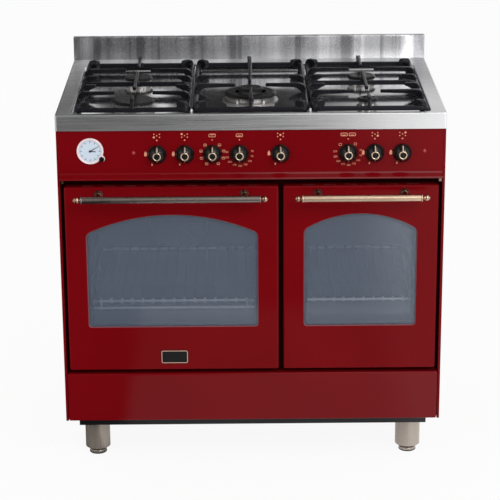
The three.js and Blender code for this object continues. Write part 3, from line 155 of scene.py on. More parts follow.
def turned(profile, centre, axis, segments=48, closed=False):
    """A profile of (radius, height) turned about an axis through centre.

    Point (u, v) is centre + radius[u] (cos v, sin v) across the axis + height[u] along it. A
    radius of 0 at an end becomes a tiny flat cap, so that the pole is closed.
    """
    profile = np.asarray(profile, float)
    radius = np.maximum(profile[:, 0], 0.01)[:, None]
    v = np.linspace(0, 2 * math.pi, segments, endpoint=False)[None, :]
    height = np.broadcast_to(profile[:, 1][:, None], (len(profile), segments))
    local = np.stack([radius * np.cos(v), radius * np.sin(v), height], -1)
    return grid(local @ AXES[axis] + np.asarray(centre, float), closed)


def lofted(rows, closed=False):
    """Outlines of equal count, one after another; both ends are capped unless the loft closes."""
    return grid(np.stack(rows), closed)


def swept(section, x0, x1, ease):
    """A closed section of (y, z) carried straight along X from x0 to x1.

    Near each end the section shrinks towards its middle by the ease, which softens that edge.
    """
    section = np.asarray(section, float)
    middle = (section.max(0) + section.min(0)) / 2
    half = np.maximum((section.max(0) - section.min(0)) / 2, 1e-6)
    small = middle + (section - middle) * np.maximum(1 - ease / half, 0.2)
    stations = [(x0, small), (x0 + ease, section), (x1 - ease, section), (x1, small)]
    return lofted([np.column_stack([np.full(len(s), x), s]) for x, s in stations])


def tube(path, radius, sides, closed=False):
    """A round tube along a path.

    At each point the tangent is the central difference; the ring lies across it, in a frame whose
    first side is perpendicular to the direction in which the path spreads least.
    """
    path = np.asarray(path, float)
    tangent = (np.roll(path, -1, 0) - np.roll(path, 1, 0)) if closed else np.gradient(path, axis=0)
    tangent /= np.linalg.norm(tangent, axis=1)[:, None]
    side = np.eye(3)[int(np.argmin(path.max(0) - path.min(0)))]
    across = np.cross(tangent, side)
    across /= np.linalg.norm(across, axis=1)[:, None]
    along = np.cross(tangent, across)
    angle = np.linspace(0, 2 * math.pi, sides, endpoint=False)[None, :, None]
    ring = np.cos(angle) * across[:, None] + np.sin(angle) * along[:, None]
    return grid(path[:, None] + radius * ring, closed)


def block(low, high):
    """A box between two corners."""
    (x0, y0, z0), (x1, y1, z1) = low, high
    ring = [(x0, y0), (x1, y0), (x1, y1), (x0, y1)]
    return lofted([np.array([(x, y, z) for x, y in ring], float) for z in (z0, z1)])


CORNER_STEPS = 8
EDGE_STEPS = 24


def rounded_outline(u0, u1, v0, v1, radius, rise=0.0, crown=None):
    """A rectangle with rounded corners whose top edge may be one circular arc.

    The arc of rise h over a width w has radius (w^2/4 + h^2) / 2h. Every outline has the same
    count of points in the same order, so outlines can be lofted to each other.
    """
    crown = radius if crown is None else crown
    half, middle, shoulder = (u1 - u0) / 2, (u0 + u1) / 2, v1 - rise
    if rise > 0:
        arc = (half**2 + rise**2) / (2 * rise)
        sweep = math.asin(half / arc) - crown / arc
        angle = np.linspace(math.pi / 2 - sweep, math.pi / 2 + sweep, EDGE_STEPS + 1)
        top = np.column_stack([middle + arc * np.cos(angle), v1 - arc + arc * np.sin(angle)])
    else:
        across = np.linspace(u1 - crown, u0 + crown, EDGE_STEPS + 1)
        top = np.column_stack([across, np.full(EDGE_STEPS + 1, v1)])
    across = np.linspace(u0 + radius, u1 - radius, EDGE_STEPS, endpoint=False)
    foot = np.column_stack([across, np.full(EDGE_STEPS, v0)])
    return np.concatenate([
        foot,
        bend((u1 - radius, v0), (u1, v0), (u1, v0 + radius), CORNER_STEPS),
        bend((u1, shoulder - crown), (u1, shoulder), top[0], CORNER_STEPS),
        top[1:-1],
        bend(top[-1], (u0, shoulder), (u0, shoulder - crown), CORNER_STEPS),
        bend((u0, v0 + radius), (u0, v0), (u0 + radius, v0), CORNER_STEPS)[:-1],
    ])


def facing_front(outline, y):
    """An outline of (x, z) stood up at a depth y."""
    return np.column_stack([outline[:, 0], np.full(len(outline), y), outline[:, 1]])


def lying(outline, z):
    """An outline of (x, y) laid at a height z."""
    return np.column_stack([outline, np.full(len(outline), z)])


def rings(area, profile, radius, place=facing_front, rise=0.0, crown=None):
    """Outlines round an area (u0, u1, v0, v1), one for each (growth, level) of a profile."""
    u0, u1, v0, v1 = area
    crown = radius if crown is None else crown
    return [
        place(rounded_outline(
            u0 - g, u1 + g, v0 - g, v1 + g, max(radius + g, 0.4), rise, max(crown + g, 0.4)
        ), level)
        for g, level in profile
    ]


def slab(area, profile, radius):
    """A closed upright plate whose edge follows a profile of (growth, depth)."""
    return lofted(rings(area, profile, radius))

# ------------------------------------------------------------------ meshes and pieces


def mesh_of(name, parts):
    """One mesh in metres from (surface, material) pairs, with its faces turned outwards."""
    materials, finishes, corners, faces, start = [], [], [], [], 0
    for (points, part_faces), material in parts:
        if material not in materials:
            materials.append(material)
        corners.append(points)
        faces += [[i + start for i in face] for face in part_faces]
        finishes += [materials.index(material)] * len(part_faces)
        start += len(points)
    mesh = bpy.data.meshes.new(name)
    mesh.from_pydata(np.concatenate(corners) * MM + (0, APRON_Y, 0), [], faces)
    for material in materials:
        mesh.materials.append(material)
    mesh.polygons.foreach_set("material_index", finishes)
    work = bmesh.new()
    work.from_mesh(mesh)
    bmesh.ops.recalc_face_normals(work, faces=work.faces)
    work.to_mesh(mesh)
    work.free()
    return mesh


def linked(name, mesh):
    """An object with this mesh, in the scene."""
    thing = bpy.data.objects.new(name, mesh)
    bpy.context.scene.collection.objects.link(thing)
    return thing


def mounted(thing, body, replaces, sharp=38, weighted=True):
    """Smooths an object up to an angle and hangs it on its body, in place of CAD nodes."""
    thing.data.shade_smooth()
    thing.data.set_sharp_from_angle(angle=math.radians(sharp))
    if weighted:
        normal = thing.modifiers.new("even_normals", "WEIGHTED_NORMAL")
        normal.keep_sharp = True
    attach(thing, body)
    if replaces:
        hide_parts(*replaces)
    return thing


def piece(name, parts, body, replaces=(), sharp=38, weighted=True):
    """One finished object from (surface, material) pairs."""
    return mounted(linked(name, mesh_of(name, parts)), body, replaces, sharp, weighted)


def baked(thing):
    """The object's mesh with its modifiers applied; the object itself is removed."""
    graph = bpy.context.evaluated_depsgraph_get()
    mesh = bpy.data.meshes.new_from_object(thing.evaluated_get(graph))
    bpy.data.objects.remove(thing)
    return mesh


def cut_mesh(name, shape, material, tools):
    """A closed surface, less the tools, as a mesh."""
    blank = linked(name, mesh_of(name, [(shape, material)]))
    tool = linked("tool", mesh_of("tool", [(shape, material) for shape in tools]))
    cut = blank.modifiers.new("cut", "BOOLEAN")
    cut.operation = "DIFFERENCE"
    cut.solver = "EXACT"
    cut.object = tool
    mesh = baked(blank)
    bpy.data.objects.remove(tool)
    return mesh


def face_centres(mesh):
    """The middles of a mesh's faces in design millimetres, as three arrays."""
    centres = np.zeros(len(mesh.polygons) * 3)
    mesh.polygons.foreach_get("center", centres)
    return ((centres.reshape(-1, 3) - (0, APRON_Y, 0)) / MM).T


def refinish(mesh, material, chosen):
    """Gives another finish to the faces that a mask chooses."""
    mesh.materials.append(material)
    index = np.zeros(len(mesh.polygons), dtype=np.int32)
    mesh.polygons.foreach_get("material_index", index)
    index[chosen] = len(mesh.materials) - 1
    mesh.polygons.foreach_set("material_index", index)


def eased_copy(node, material, body, width):
    """A merged copy of a CAD piece with its flat faces joined and its edges softened."""
    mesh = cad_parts[node].data.copy()
    mesh.materials.clear()
    mesh.materials.append(material)
    work = bmesh.new()
    work.from_mesh(mesh)
    bmesh.ops.remove_doubles(work, verts=work.verts, dist=1e-6)
    bmesh.ops.dissolve_limit(
        work, angle_limit=math.radians(0.5), verts=work.verts, edges=work.edges
    )
    work.to_mesh(mesh)
    work.free()
    thing = linked(f"{node}_sheet", mesh)
    bevel = thing.modifiers.new("soft_edges", "BEVEL")
    bevel.width = width * MM
    bevel.segments = 2
    bevel.limit_method = "ANGLE"
    bevel.angle_limit = math.radians(40)
    bevel.use_clamp_overlap = True
    mounted(thing, body, (node,), sharp=30)


def finish_node(name, material):
    """Gives a CAD piece that stays in view as it is its finish."""
    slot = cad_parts[name].material_slots[0]
    slot.link = "OBJECT"
    slot.material = material

# ------------------------------------------------------------------ finishes


def shader_node(tree, kind, inputs=None, **settings):
    """The outputs of a new node; each input takes another node's output or a plain value."""
    made = tree.nodes.new(f"ShaderNode{kind}")
    for label, value in settings.items():
        setattr(made, label, value)
    for label, value in (inputs or {}).items():
        if hasattr(value, "is_output"):
            tree.links.new(value, made.inputs[label])
        else:
            made.inputs[label].default_value = value
    return made.outputs


def arithmetic(tree, operation, first, *others):
    """Outputs and plain numbers taken together by one operation, from left to right."""
    for other in others:
        first = shader_node(tree, "Math", {0: first, 1: other}, operation=operation)[0]
    return first


def effect(name, inputs, outputs):
    """A shader group with named number inputs and outputs; the sockets that it is fed from, and
    those that it fills."""
    group = bpy.data.node_groups.new(name, "ShaderNodeTree")
    for label, value in inputs.items():
        socket = group.interface.new_socket(label, in_out="INPUT", socket_type="NodeSocketFloat")
        socket.default_value = value
    for label in outputs:
        group.interface.new_socket(label, in_out="OUTPUT", socket_type="NodeSocketFloat")
    given = group.nodes.new("NodeGroupInput").outputs
    return group, given, group.nodes.new("NodeGroupOutput").inputs


def by_axis(frequencies):
    """A frequency per metre for each axis, under the names of a noise effect's inputs."""
    return {f"{axis} frequency": value for axis, value in zip("XYZ", frequencies)}


def noise_effect(name, frequencies, detail, low=0.32, high=0.68):
    """Noise stretched along the axes, for grain, brushing, patches and the waves of thin sheet.

    Its mask is the part of the noise between low and high, stretched to 0 to 1.
    """
    inputs = {**by_axis(frequencies), "Detail": detail}
    group, given, out = effect(name, inputs, ["Height", "Mask"])
    place = shader_node(group, "TexCoord")["Object"]
    given_axes = {axis: given[f"{axis} frequency"] for axis in "XYZ"}
    frequency = shader_node(group, "CombineXYZ", given_axes)["Vector"]
    product = shader_node(group, "VectorMath", {0: place, 1: frequency}, operation="MULTIPLY")
    noise = shader_node(group, "TexNoise", {
        "Vector": product["Vector"], "Scale": 1, "Detail": given["Detail"]})["Fac"]
    mask = shader_node(group, "MapRange", {"Value": noise, "From Min": low, "From Max": high})
    group.links.new(noise, out["Height"])
    group.links.new(mask["Result"], out["Mask"])
    return group


def cell_effect(name, scale, size):
    """Cells of random tone, and round specks in the middle of some of them."""
    group, given, out = effect(name, {"Scale": scale, "Speck size": size}, ["Tone", "Speck"])
    place = shader_node(group, "TexCoord")["Object"]
    cells = shader_node(group, "TexVoronoi", {"Vector": place, "Scale": given["Scale"]})
    tone = shader_node(group, "SeparateColor", {"Color": cells["Color"]})
    near = arithmetic(group, "LESS_THAN", cells["Distance"], given["Speck size"])
    group.links.new(tone["Red"], out["Tone"])
    group.links.new(arithmetic(group, "MULTIPLY", near, tone["Green"]), out["Speck"])
    return group


GRAIN = noise_effect("grain", (600, 600, 600), 3)
BRUSHING = noise_effect("brushing", (5, 700, 700), 2)
PATCHES = noise_effect("patches", (6, 6, 6), 3)
WAVES = noise_effect("sheet_waves", (11, 11, 2), 1)
# Light and dark columns of painted reflection for the backguard's colour
PAINTED_REFLECTION_COLUMNS = noise_effect("painted_reflection_columns", (22, 22, 0.2), 1, 0.45, 0.60)
CELLS = cell_effect("cells", 260, 0.12)


def shader_of(made):
    """The inputs of a material's Principled shader."""
    return made.node_tree.nodes["Principled BSDF"].inputs


def finish(name, colour, roughness, **sockets):
    """A material whose Principled shader has these constants."""
    made = bpy.data.materials.new(name)
    made.use_nodes = True
    shader_of(made)["Base Color"].default_value = (*colour, 1)
    shader_of(made)["Roughness"].default_value = roughness
    for label, value in sockets.items():
        shader_of(made)[label.replace("_", " ")].default_value = value
    return made


def with_effect(made, group, frequencies=(), **values):
    """The outputs of an effect placed in a material with its own frequencies and values."""
    given = {label.replace("_", " "): value for label, value in values.items()}
    return shader_node(
        made.node_tree, "Group", {**by_axis(frequencies), **given}, node_tree=group)


def tint(made, mask, colour):
    """Where the mask is 1, the base colour gives way to another."""
    base = shader_of(made)["Base Color"]
    before = base.links[0].from_socket if base.is_linked else base.default_value
    mix = shader_node(
        made.node_tree, "Mix", {"Factor": mask, "A": before, "B": (*colour, 1)}, data_type="RGBA")
    made.node_tree.links.new(mix["Result"], base)


def vary_roughness(made, mask, low, high):
    """The roughness runs from low to high with the mask."""
    span = shader_node(made.node_tree, "MapRange", {"Value": mask, "To Min": low, "To Max": high})
    made.node_tree.links.new(span["Result"], shader_of(made)["Roughness"])


def relief(made, height, depth_mm):
    """A bump of that depth in millimetres."""
    bump = shader_node(
        made.node_tree, "Bump", {"Strength": 1.0, "Distance": depth_mm * MM, "Height": height})
    made.node_tree.links.new(bump["Normal"], shader_of(made)["Normal"])


def red_enamel(name="red_enamel", specular=0.09):
    """Deep red enamel with a little orange peel; pieces that shine more take a higher specular."""
    made = finish(name, (0.170, 0.0022, 0.0046), 0.10, Specular_IOR_Level=specular)
    relief(made, with_effect(made, GRAIN, (130, 130, 130), Detail=1)["Height"], 0.02)
    tint(made, with_effect(made, PATCHES)["Mask"], (0.155, 0.0019, 0.0040))
    return made


def black_enamel():
    """Black oven enamel with pale specks and a coarser orange peel."""
    made = finish("black_enamel", (0.012, 0.012, 0.014), 0.22, Specular_IOR_Level=0.4)
    tint(made, with_effect(made, CELLS, Scale=420, Speck_size=0.16)["Speck"], (0.10, 0.10, 0.11))
    relief(made, with_effect(made, GRAIN, (150, 150, 150), Detail=1)["Height"], 0.03)
    return made


def satin_steel(name, colour, frequencies=(5, 700, 700), metallic=1.0, **sockets):
    """Steel brushed along its length, a little darker in patches."""
    made = finish(name, colour, 0.30, Metallic=metallic, **sockets)
    brush = with_effect(made, BRUSHING, frequencies)
    vary_roughness(made, brush["Mask"], 0.24, 0.38)
    relief(made, brush["Height"], 0.012)
    tint(made, with_effect(made, PATCHES)["Mask"], tuple(0.9 * c for c in colour))
    return made


def polished_steel(name, colour, roughness, wave_mm, frequencies, **sockets):
    """Bright steel whose slight waves break its reflections into streaks."""
    made = finish(name, colour, roughness, Metallic=1.0, **sockets)
    relief(made, with_effect(made, WAVES, frequencies)["Height"], wave_mm)
    vary_roughness(made, with_effect(made, GRAIN)["Mask"], roughness - 0.03, roughness + 0.05)
    return made


def guard_steel():
    """Upright steel brushed lengthwise: what it mirrors smears into light and dark columns; more
    such columns are painted into its colour as painted reflection.
    """
    made = polished_steel(
        "guard_steel", (0.97, 0.97, 0.99), 0.24, 1.2, (15, 15, 0.8), Anisotropic=0.95,
        Anisotropic_Rotation=0.25)
    # Light and dark columns of painted reflection, tinted into the base colour
    tint(made, with_effect(made, PAINTED_REFLECTION_COLUMNS)["Mask"], (0.42, 0.42, 0.44))
    tint(made, with_effect(made, PAINTED_REFLECTION_COLUMNS, (75, 75, 0.4))["Mask"], (0.78, 0.78, 0.80))
    return made


def aged_metal(name, colour, worn, roughness, frequency=40):
    """Plated metal that darkens in patches."""
    made = finish(name, colour, roughness, Metallic=1.0)
    patches = with_effect(made, PATCHES, (frequency, frequency, frequency))
    tint(made, patches["Mask"], worn)
    vary_roughness(made, patches["Mask"], roughness - 0.05, roughness + 0.1)
    return made


def grained(name, colour, roughness, depth_mm, frequency=600, **sockets):
    """A surface with a fine grain, such as a casting, rubber or moulded plastic."""
    made = finish(name, colour, roughness, **sockets)
    grain = with_effect(made, GRAIN, (frequency, frequency, frequency))
    relief(made, grain["Height"], depth_mm)
    vary_roughness(made, grain["Mask"], max(roughness - 0.05, 0.02), roughness + 0.07)
    return made


def galvanised_sheet():
    """Zinc-coated sheet with its crystals."""
    made = finish("galvanised_sheet", (0.42, 0.44, 0.46), 0.42, Metallic=0.9)
    spangle = with_effect(made, CELLS, Scale=120)
    tint(made, spangle["Tone"], (0.375, 0.395, 0.415))
    vary_roughness(made, spangle["Tone"], 0.39, 0.48)
    return made


def clear_glass():
    """Float glass with a faint film on it."""
    made = finish("clear_glass", (0.93, 0.95, 0.96), 0.02, Transmission_Weight=0.97, IOR=1.45)
    vary_roughness(made, with_effect(made, PATCHES)["Mask"], 0.01, 0.04)
    return made


def dot_film():
    """The fine blue-grey dots printed on a door's outer pane, as a veil."""
    made = finish("dot_film", (0.29, 0.375, 0.54), 0.6, Alpha=0.105, Specular_IOR_Level=0.1)
    tint(made, with_effect(made, PATCHES)["Mask"], (0.27, 0.355, 0.52))
    return made


RED = red_enamel()
DRAWER_RED = red_enamel("red_enamel_drawer", 0.22)
CREASE_RED = red_enamel("red_enamel_crease", 0.6)
BLACK = black_enamel()
SATIN = satin_steel(
    "satin_steel", (0.91, 0.91, 0.92), Anisotropic=0.8, Anisotropic_Rotation=0.25)
LEG_STEEL = satin_steel("leg_steel", (0.52, 0.45, 0.39), (300, 300, 8), metallic=0.65)
WELL_STEEL = polished_steel("well_steel", (0.80, 0.79, 0.80), 0.09, 0.6, (8, 8, 8))
GUARD_STEEL = guard_steel()
GALVANISED = galvanised_sheet()
# One bronze in two copies: the left handle's is darker and greyer as painted shade, the right one's
# lighter as painted light
HANDLE_METAL_PAINTED_LIGHT_AND_SHADE = {
    "left": aged_metal("antique_bronze_painted_shade", (0.38, 0.32, 0.29), (0.28, 0.23, 0.20), 0.24, 14),
    "right": aged_metal("antique_bronze", (0.80, 0.60, 0.44), (0.64, 0.45, 0.32), 0.24, 14),
}
BALL_METAL = aged_metal("antique_copper", (0.66, 0.44, 0.33), (0.36, 0.22, 0.16), 0.2)
ROSETTE_METAL = aged_metal("antique_bronze_dark", (0.42, 0.30, 0.23), (0.20, 0.13, 0.10), 0.22)
BRASS = aged_metal("pointer_brass", (0.95, 0.76, 0.56), (0.80, 0.60, 0.41), 0.30)
TAP_METAL = aged_metal("tap_brass", (0.66, 0.52, 0.28), (0.45, 0.34, 0.18), 0.36)
RACK_WIRE = aged_metal("rack_wire", (0.98, 0.97, 0.95), (0.93, 0.92, 0.90), 0.34, 90)
# Near-black finish for the rack's long wires: painted shade deep inside the oven, while the rails
# stay bright
WIRE_PAINTED_SHADE = grained("wire_painted_shade", (0.018, 0.017, 0.017), 0.7, 0.02, 90, Specular_IOR_Level=0.1)
VENT_LINING = grained("vent_lining", (0.58, 0.44, 0.38), 0.6, 0.05)
CHROME = aged_metal("chromed_wire", (0.72, 0.72, 0.73), (0.62, 0.62, 0.63), 0.14, 90)
ALLOY = grained("burner_alloy", (0.42, 0.41, 0.40), 0.38, 0.05, 500, Metallic=1.0)
IRON = grained(
    "cast_iron", (0.0065, 0.0062, 0.0082), 0.25, 0.06, 420, Specular_IOR_Level=0.26,
    Specular_Tint=(0.90, 0.88, 1.0, 1))
CAP_ENAMEL = grained(
    "cap_enamel", (0.010, 0.009, 0.009), 0.28, 0.03, 300, Specular_IOR_Level=0.13)
GLOSS_BLACK = grained(
    "knob_black", (0.006, 0.006, 0.006), 0.16, 0.01, 250, Specular_IOR_Level=0.28)
RUBBER = grained("foot_rubber", (0.012, 0.012, 0.012), 0.7, 0.06)
# The white dial is coloured a darker blue-grey: painted shade
DIAL_PAINTED_SHADE = grained("dial_white", (0.60, 0.69, 0.79), 0.35, 0.01)
BEZEL = grained("clock_bezel", (0.93, 0.77, 0.80), 0.25, 0.01, 200, Metallic=0.15)
PRINT = grained("panel_print", (0.74, 0.30, 0.18), 0.5, 0.01)
BLACK_PRINT = grained("black_print", (0.006, 0.006, 0.006), 0.4, 0.01)
LENS = grained("lamp_lens", (0.40, 0.045, 0.04), 0.2, 0.02, 200)
CERAMIC = grained("white_ceramic", (0.72, 0.70, 0.66), 0.35, 0.02, 300)
ELEMENT = grained("heating_element", (0.03, 0.028, 0.026), 0.6, 0.05, 350, Metallic=0.3)
SEAL = grained("oven_seal", (0.10, 0.10, 0.105), 0.85, 0.25, 900)
LAMP_GLASS = grained("lamp_glass", (0.8, 0.78, 0.7), 0.08, 0.02, 120, Transmission_Weight=0.5)
PLATE_BORDER = grained("plate_border", (0.78, 0.47, 0.36), 0.35, 0.02, 300, Metallic=0.4)
TICK = grained("dial_ticks", (0.20, 0.27, 0.36), 0.5, 0.01)
CLEAR = clear_glass()
FILM = dot_film()
LINER_BLACK = grained(
    "oven_enamel", (0.012, 0.012, 0.014), 0.6, 0.02, 300, Specular_IOR_Level=0.08)
# Dark enamel behind the doors; its red tint is a painted reflection of the red doors' edges
GAP_DARK_PAINTED_RED_REFLECTION = grained(
    "gap_enamel_painted_red_reflection", (0.045, 0.0015, 0.0020), 0.55, 0.03, 200, Specular_IOR_Level=0.05)
# Pale pink for the bead round a door's window: a painted highlight along the rim of the opening
RIM_PAINTED_HIGHLIGHT = grained("rim_painted_highlight", (0.22, 0.075, 0.09), 0.35, 0.02, 200)

# ------------------------------------------------------------------ doors

ARCH_RISE = {"left": 45, "right": 38}
WINDOW_LAP = 12  # of the glass behind the enamelled panel
WINDOW_CORNER, ARCH_CORNER = 8, 11
DOOR_DEPTH = 30
PANEL_CORNER = 5
PANEL_SHEET = 1.5
PANEL_INSIDE = 2.2  # depth of the inner face behind the outer one
HINGE_INSET = 42
VENT_PITCH = 48
INNER_PANE = 3  # its thickness
PAN_SHEET = 1.8  # sheet of the door's pan and the play in front of it
HANDLE_REACH = 45
HANDLE_DROP = 18
POST_INSET = 56
BALL_LENGTH = 17  # of a handle's pointed ball, with its waist
BADGE_AREA = (-217.5, -152.5, 260, 294)


def window_of(side):
    """The arched opening of a door's panel: its area (x0, x1, z0, z1) and its rise."""
    x0, x1, z0, z1 = front_area(f"door_glass_{side}")
    return (x0 + WINDOW_LAP, x1 - WINDOW_LAP, z0 + WINDOW_LAP, z1 - WINDOW_LAP), ARCH_RISE[side]


def arch_rings(side, profile):
    """Outlines round a door's window, one for each (growth, depth) of a profile."""
    area, rise = window_of(side)
    return rings(area, profile, WINDOW_CORNER, rise=rise, crown=ARCH_CORNER)


def pressed_edge(depth):
    """Profile of (growth, depth) from the inner edge of a pressed front over its rounded rim to its
    flat face."""
    return filleted([(-PANEL_SHEET, depth), (0, depth), (0, 0), (-9, 0)], [0, 0.5, 4.5, 0], 6)


def door_panel(side):
    """Pressed enamel shell: outlines run from its inner edge over the rounded rim and the flat
    face to the rolled rim of the window, and back along the inside. Its lower edge is cut for the
    hinge arms, and slots along its top let warm air out."""
    x0, x1, z0, z1 = area = front_area(f"door_panel_{side}")
    rim = filleted([(9, 0), (0, 0), (0, 5)], [0, 3.2, 0], 6)
    shell = lofted(
        rings(area, pressed_edge(DOOR_DEPTH), PANEL_CORNER)
        + arch_rings(side, rim)
        + arch_rings(side, [(PANEL_SHEET, 5), (PANEL_SHEET, PANEL_INSIDE)])
        + rings(area, [(-PANEL_SHEET, PANEL_INSIDE)], PANEL_CORNER),
        closed=True,
    )
    cuts = [block((x - 5.5, 6.5, z0 - 2), (x + 5.5, 31, z0 + 3))
            for x in (x0 + HINGE_INSET, x1 - HINGE_INSET)]
    count = int((x1 - x0 - 50) // VENT_PITCH)
    for i in range(count):
        x = (x0 + x1) / 2 + (i - (count - 1) / 2) * VENT_PITCH
        vent = rounded_outline(x - 16, x + 16, 9, 17, 3.5)
        cuts.append(lofted([lying(vent, z1 - 3), lying(vent, z1 + 2)]))
    skin = linked(f"door_skin_{side}", cut_mesh(f"door_skin_{side}", shell, RED, cuts))
    mounted(skin, f"{side}_door", (f"door_panel_{side}",))
    lining = block((x0 + 4, 8.5, z1 - 3.2), (x1 - 4, 18, z1 - 2.4))
    piece(f"vent_lining_{side}", [(lining, VENT_LINING)], f"{side}_door")


def door_glasses(side):
    """The two panes, a printed border on the outer one that follows the arch, its dots, the bead
    round the window in a pale pink that is a painted highlight, and the strips between the panes."""
    def glazing(name, shape, material, replaces=(), weighted=False):
        """One piece of this door's window."""
        piece(f"{name}_{side}", [(shape, material)], f"{side}_door", replaces,
              weighted=weighted)

    low, high = extent(f"door_glass_{side}")
    area = front_area(f"door_glass_{side}")
    front, back = low[1], high[1]
    edge = filleted([(-3, front), (0, front), (0, back), (-3, back)], [0, 0.6, 0.6, 0], 2)
    glazing("outer_glass", slab(area, edge, 4), CLEAR, replaces=(f"door_glass_{side}",),
            weighted=True)
    y0, y1 = back + 0.12, back + 0.5
    border = arch_rings(side, [(8, y0), (-8, y0), (-8, y1), (8, y1)])
    glazing("glass_border", lofted(border, closed=True), BLACK_PRINT, weighted=True)
    dots = arch_rings(side, [(8, front - 0.24), (8, front - 0.1)])
    glazing("glass_dots", lofted(dots), FILM)
    bead = filleted([(1.0, 0.15), (-0.2, 1.2), (-0.4, 4.4), (0.5, 4.4)], 0.3, 2, closed=True)
    # The bead round the window is pale pink: a painted highlight
    glazing("window_edge", lofted(arch_rings(side, bead), closed=True), RIM_PAINTED_HIGHLIGHT)
    back = extent(f"door_pan_{side}")[1][1] - PAN_SHEET
    front = back - INNER_PANE
    edge = [(-1, front), (0, front + 0.4), (0, back - 0.4), (-1, back)]
    glazing("inner_glass", slab(area, edge, 4), CLEAR, weighted=True)
    strips = [(block((x, y1 + 0.1, low[2] + 6), (x + 4, front - 0.1, high[2] - 6)), SATIN)
              for x in (low[0] + 1, high[0] - 5)]
    piece(f"glass_strips_{side}", strips, f"{side}_door", weighted=False)


def door_handle(side):
    """Turned bar: a pointed ball, a dark waist, a collar and the plain bar at each end, and two
    turned posts on domed rosettes."""
    low, high = extent(f"door_handle_{side}")
    x0, x1 = low[0], high[0]
    z = extent(f"door_panel_{side}")[1][2] - HANDLE_DROP
    bead = [(7.5 * math.sin(a), 8.6 - 7.5 * math.cos(a)) for a in np.linspace(0.42, 2.5, 12)]
    tip = [(0, 0), (0.9, 0.1)] + bead + [
        (3.6, 15.6), (3.6, 16.6), (5.4, 17.0), (6.2, 17.6), (9.0, 18.0), (9.8, 18.9), (9.8, 20.2),
        (9.0, 21.2), (8.0, 21.6), (8.0, 40)]
    profile = tip + [(r, x1 - x0 - at) for r, at in reversed(tip)]
    # Each side's handle takes its copy of the bronze with painted light or painted shade
    parts = [(turned(profile, (x0, -HANDLE_REACH, z), "right"), HANDLE_METAL_PAINTED_LIGHT_AND_SHADE[side])]
    post = filleted(
        [(0, -0.2), (10.8, -0.2), (10.8, 2.0), (9.6, 3.2), (8.0, 7.4), (5.8, 9.8), (5.0, 12),
         (4.8, 24), (5.4, 31), (6.4, 37), (6.4, HANDLE_REACH), (0, HANDLE_REACH)],
        [0, 0.4, 1.0, 1.6, 3, 2, 2, 6, 4, 2, 0, 0], 5)
    for x in (x0 + POST_INSET, x1 - POST_INSET):
        parts.append((turned(post, (x, 0, z), "front", 40), ROSETTE_METAL))
    handle = piece(f"handle_{side}", parts, f"{side}_door", (f"door_handle_{side}",), 50)
    x = face_centres(handle.data)[0]
    refinish(handle.data, BALL_METAL, (x < x0 + BALL_LENGTH) | (x > x1 - BALL_LENGTH))


def badge_plate():
    """A bare plate with a raised border on the large door."""
    plate = filleted([(0, 0.2), (0, -1.1), (-1.4, -1.1)], [0, 0.5, 0], 3)
    edge = filleted([(-1.2, -0.8), (-1.2, -1.7), (-3.0, -1.7), (-3.0, -0.8)], 0.4, 2, closed=True)
    field = [(-3, -0.9), (-3, -1.35), (-4.5, -1.45)]
    parts = [(slab(BADGE_AREA, plate, 6), GLOSS_BLACK),
             (lofted(rings(BADGE_AREA, edge, 6), closed=True), PLATE_BORDER),
             (slab(BADGE_AREA, field, 6), GLOSS_BLACK)]
    piece("badge_plate", parts, "left_door")


for door_side in ("left", "right"):
    door_panel(door_side)
    door_glasses(door_side)
    door_handle(door_side)
    eased_copy(f"door_pan_{door_side}", BLACK, f"{door_side}_door", 0.5)
badge_plate()

# ------------------------------------------------------------------ drawer


def drawer_front():
    """Pressed enamel front, open at the back."""
    depth = extent("drawer_front")[1][1]
    inside = [(-10, PANEL_INSIDE), (-PANEL_SHEET, PANEL_INSIDE), (-PANEL_SHEET, depth)]
    shell = slab(front_area("drawer_front"), [*inside, *pressed_edge(depth)], PANEL_CORNER)
    piece("drawer_skin", [(shell, DRAWER_RED)], "drawer", ("drawer_front",))


drawer_front()
eased_copy("drawer_box", GALVANISED, "drawer", 0.4)

# ------------------------------------------------------------------ control panel

PANEL_Y = 4
PRINT_BACK, PRINT_FRONT = PANEL_Y + 0.05, PANEL_Y - 0.18
DIGIT_HEIGHT = 0.7  # of a digit in the font's own size
KNOB_Y, KNOB_Z = 3, 775
GRIP_REACH = 20.8  # from a knob's middle to either end of its grip
DOT_RISE, MAP_RISE, OVEN_RISE = 33.4, 43.8, 44  # of the print above a knob's middle
ICON_REACH = 27
TAP_XS = {"front_left": -217, "rear_left": -153, "centre": 67.5, "front_right": 285,
          "rear_right": 348.5}
OVEN_XS = {"oven_selector": -89.5, "oven_left": -27, "oven_right": 223.5}
LAMP_XS = {"left": -271, "right": 400}
LAMP_Z = 779
CLOCK = np.array([-371, 3.7, 784])
TICK_REACH = 23.8


def panel_hole(x, z, radius, segments=48):
    """A round tool right through the panel."""
    profile = [(0, -6), (radius, -6), (radius, 6), (0, 6)]
    return turned(profile, (x, PANEL_Y, z), "front", segments)


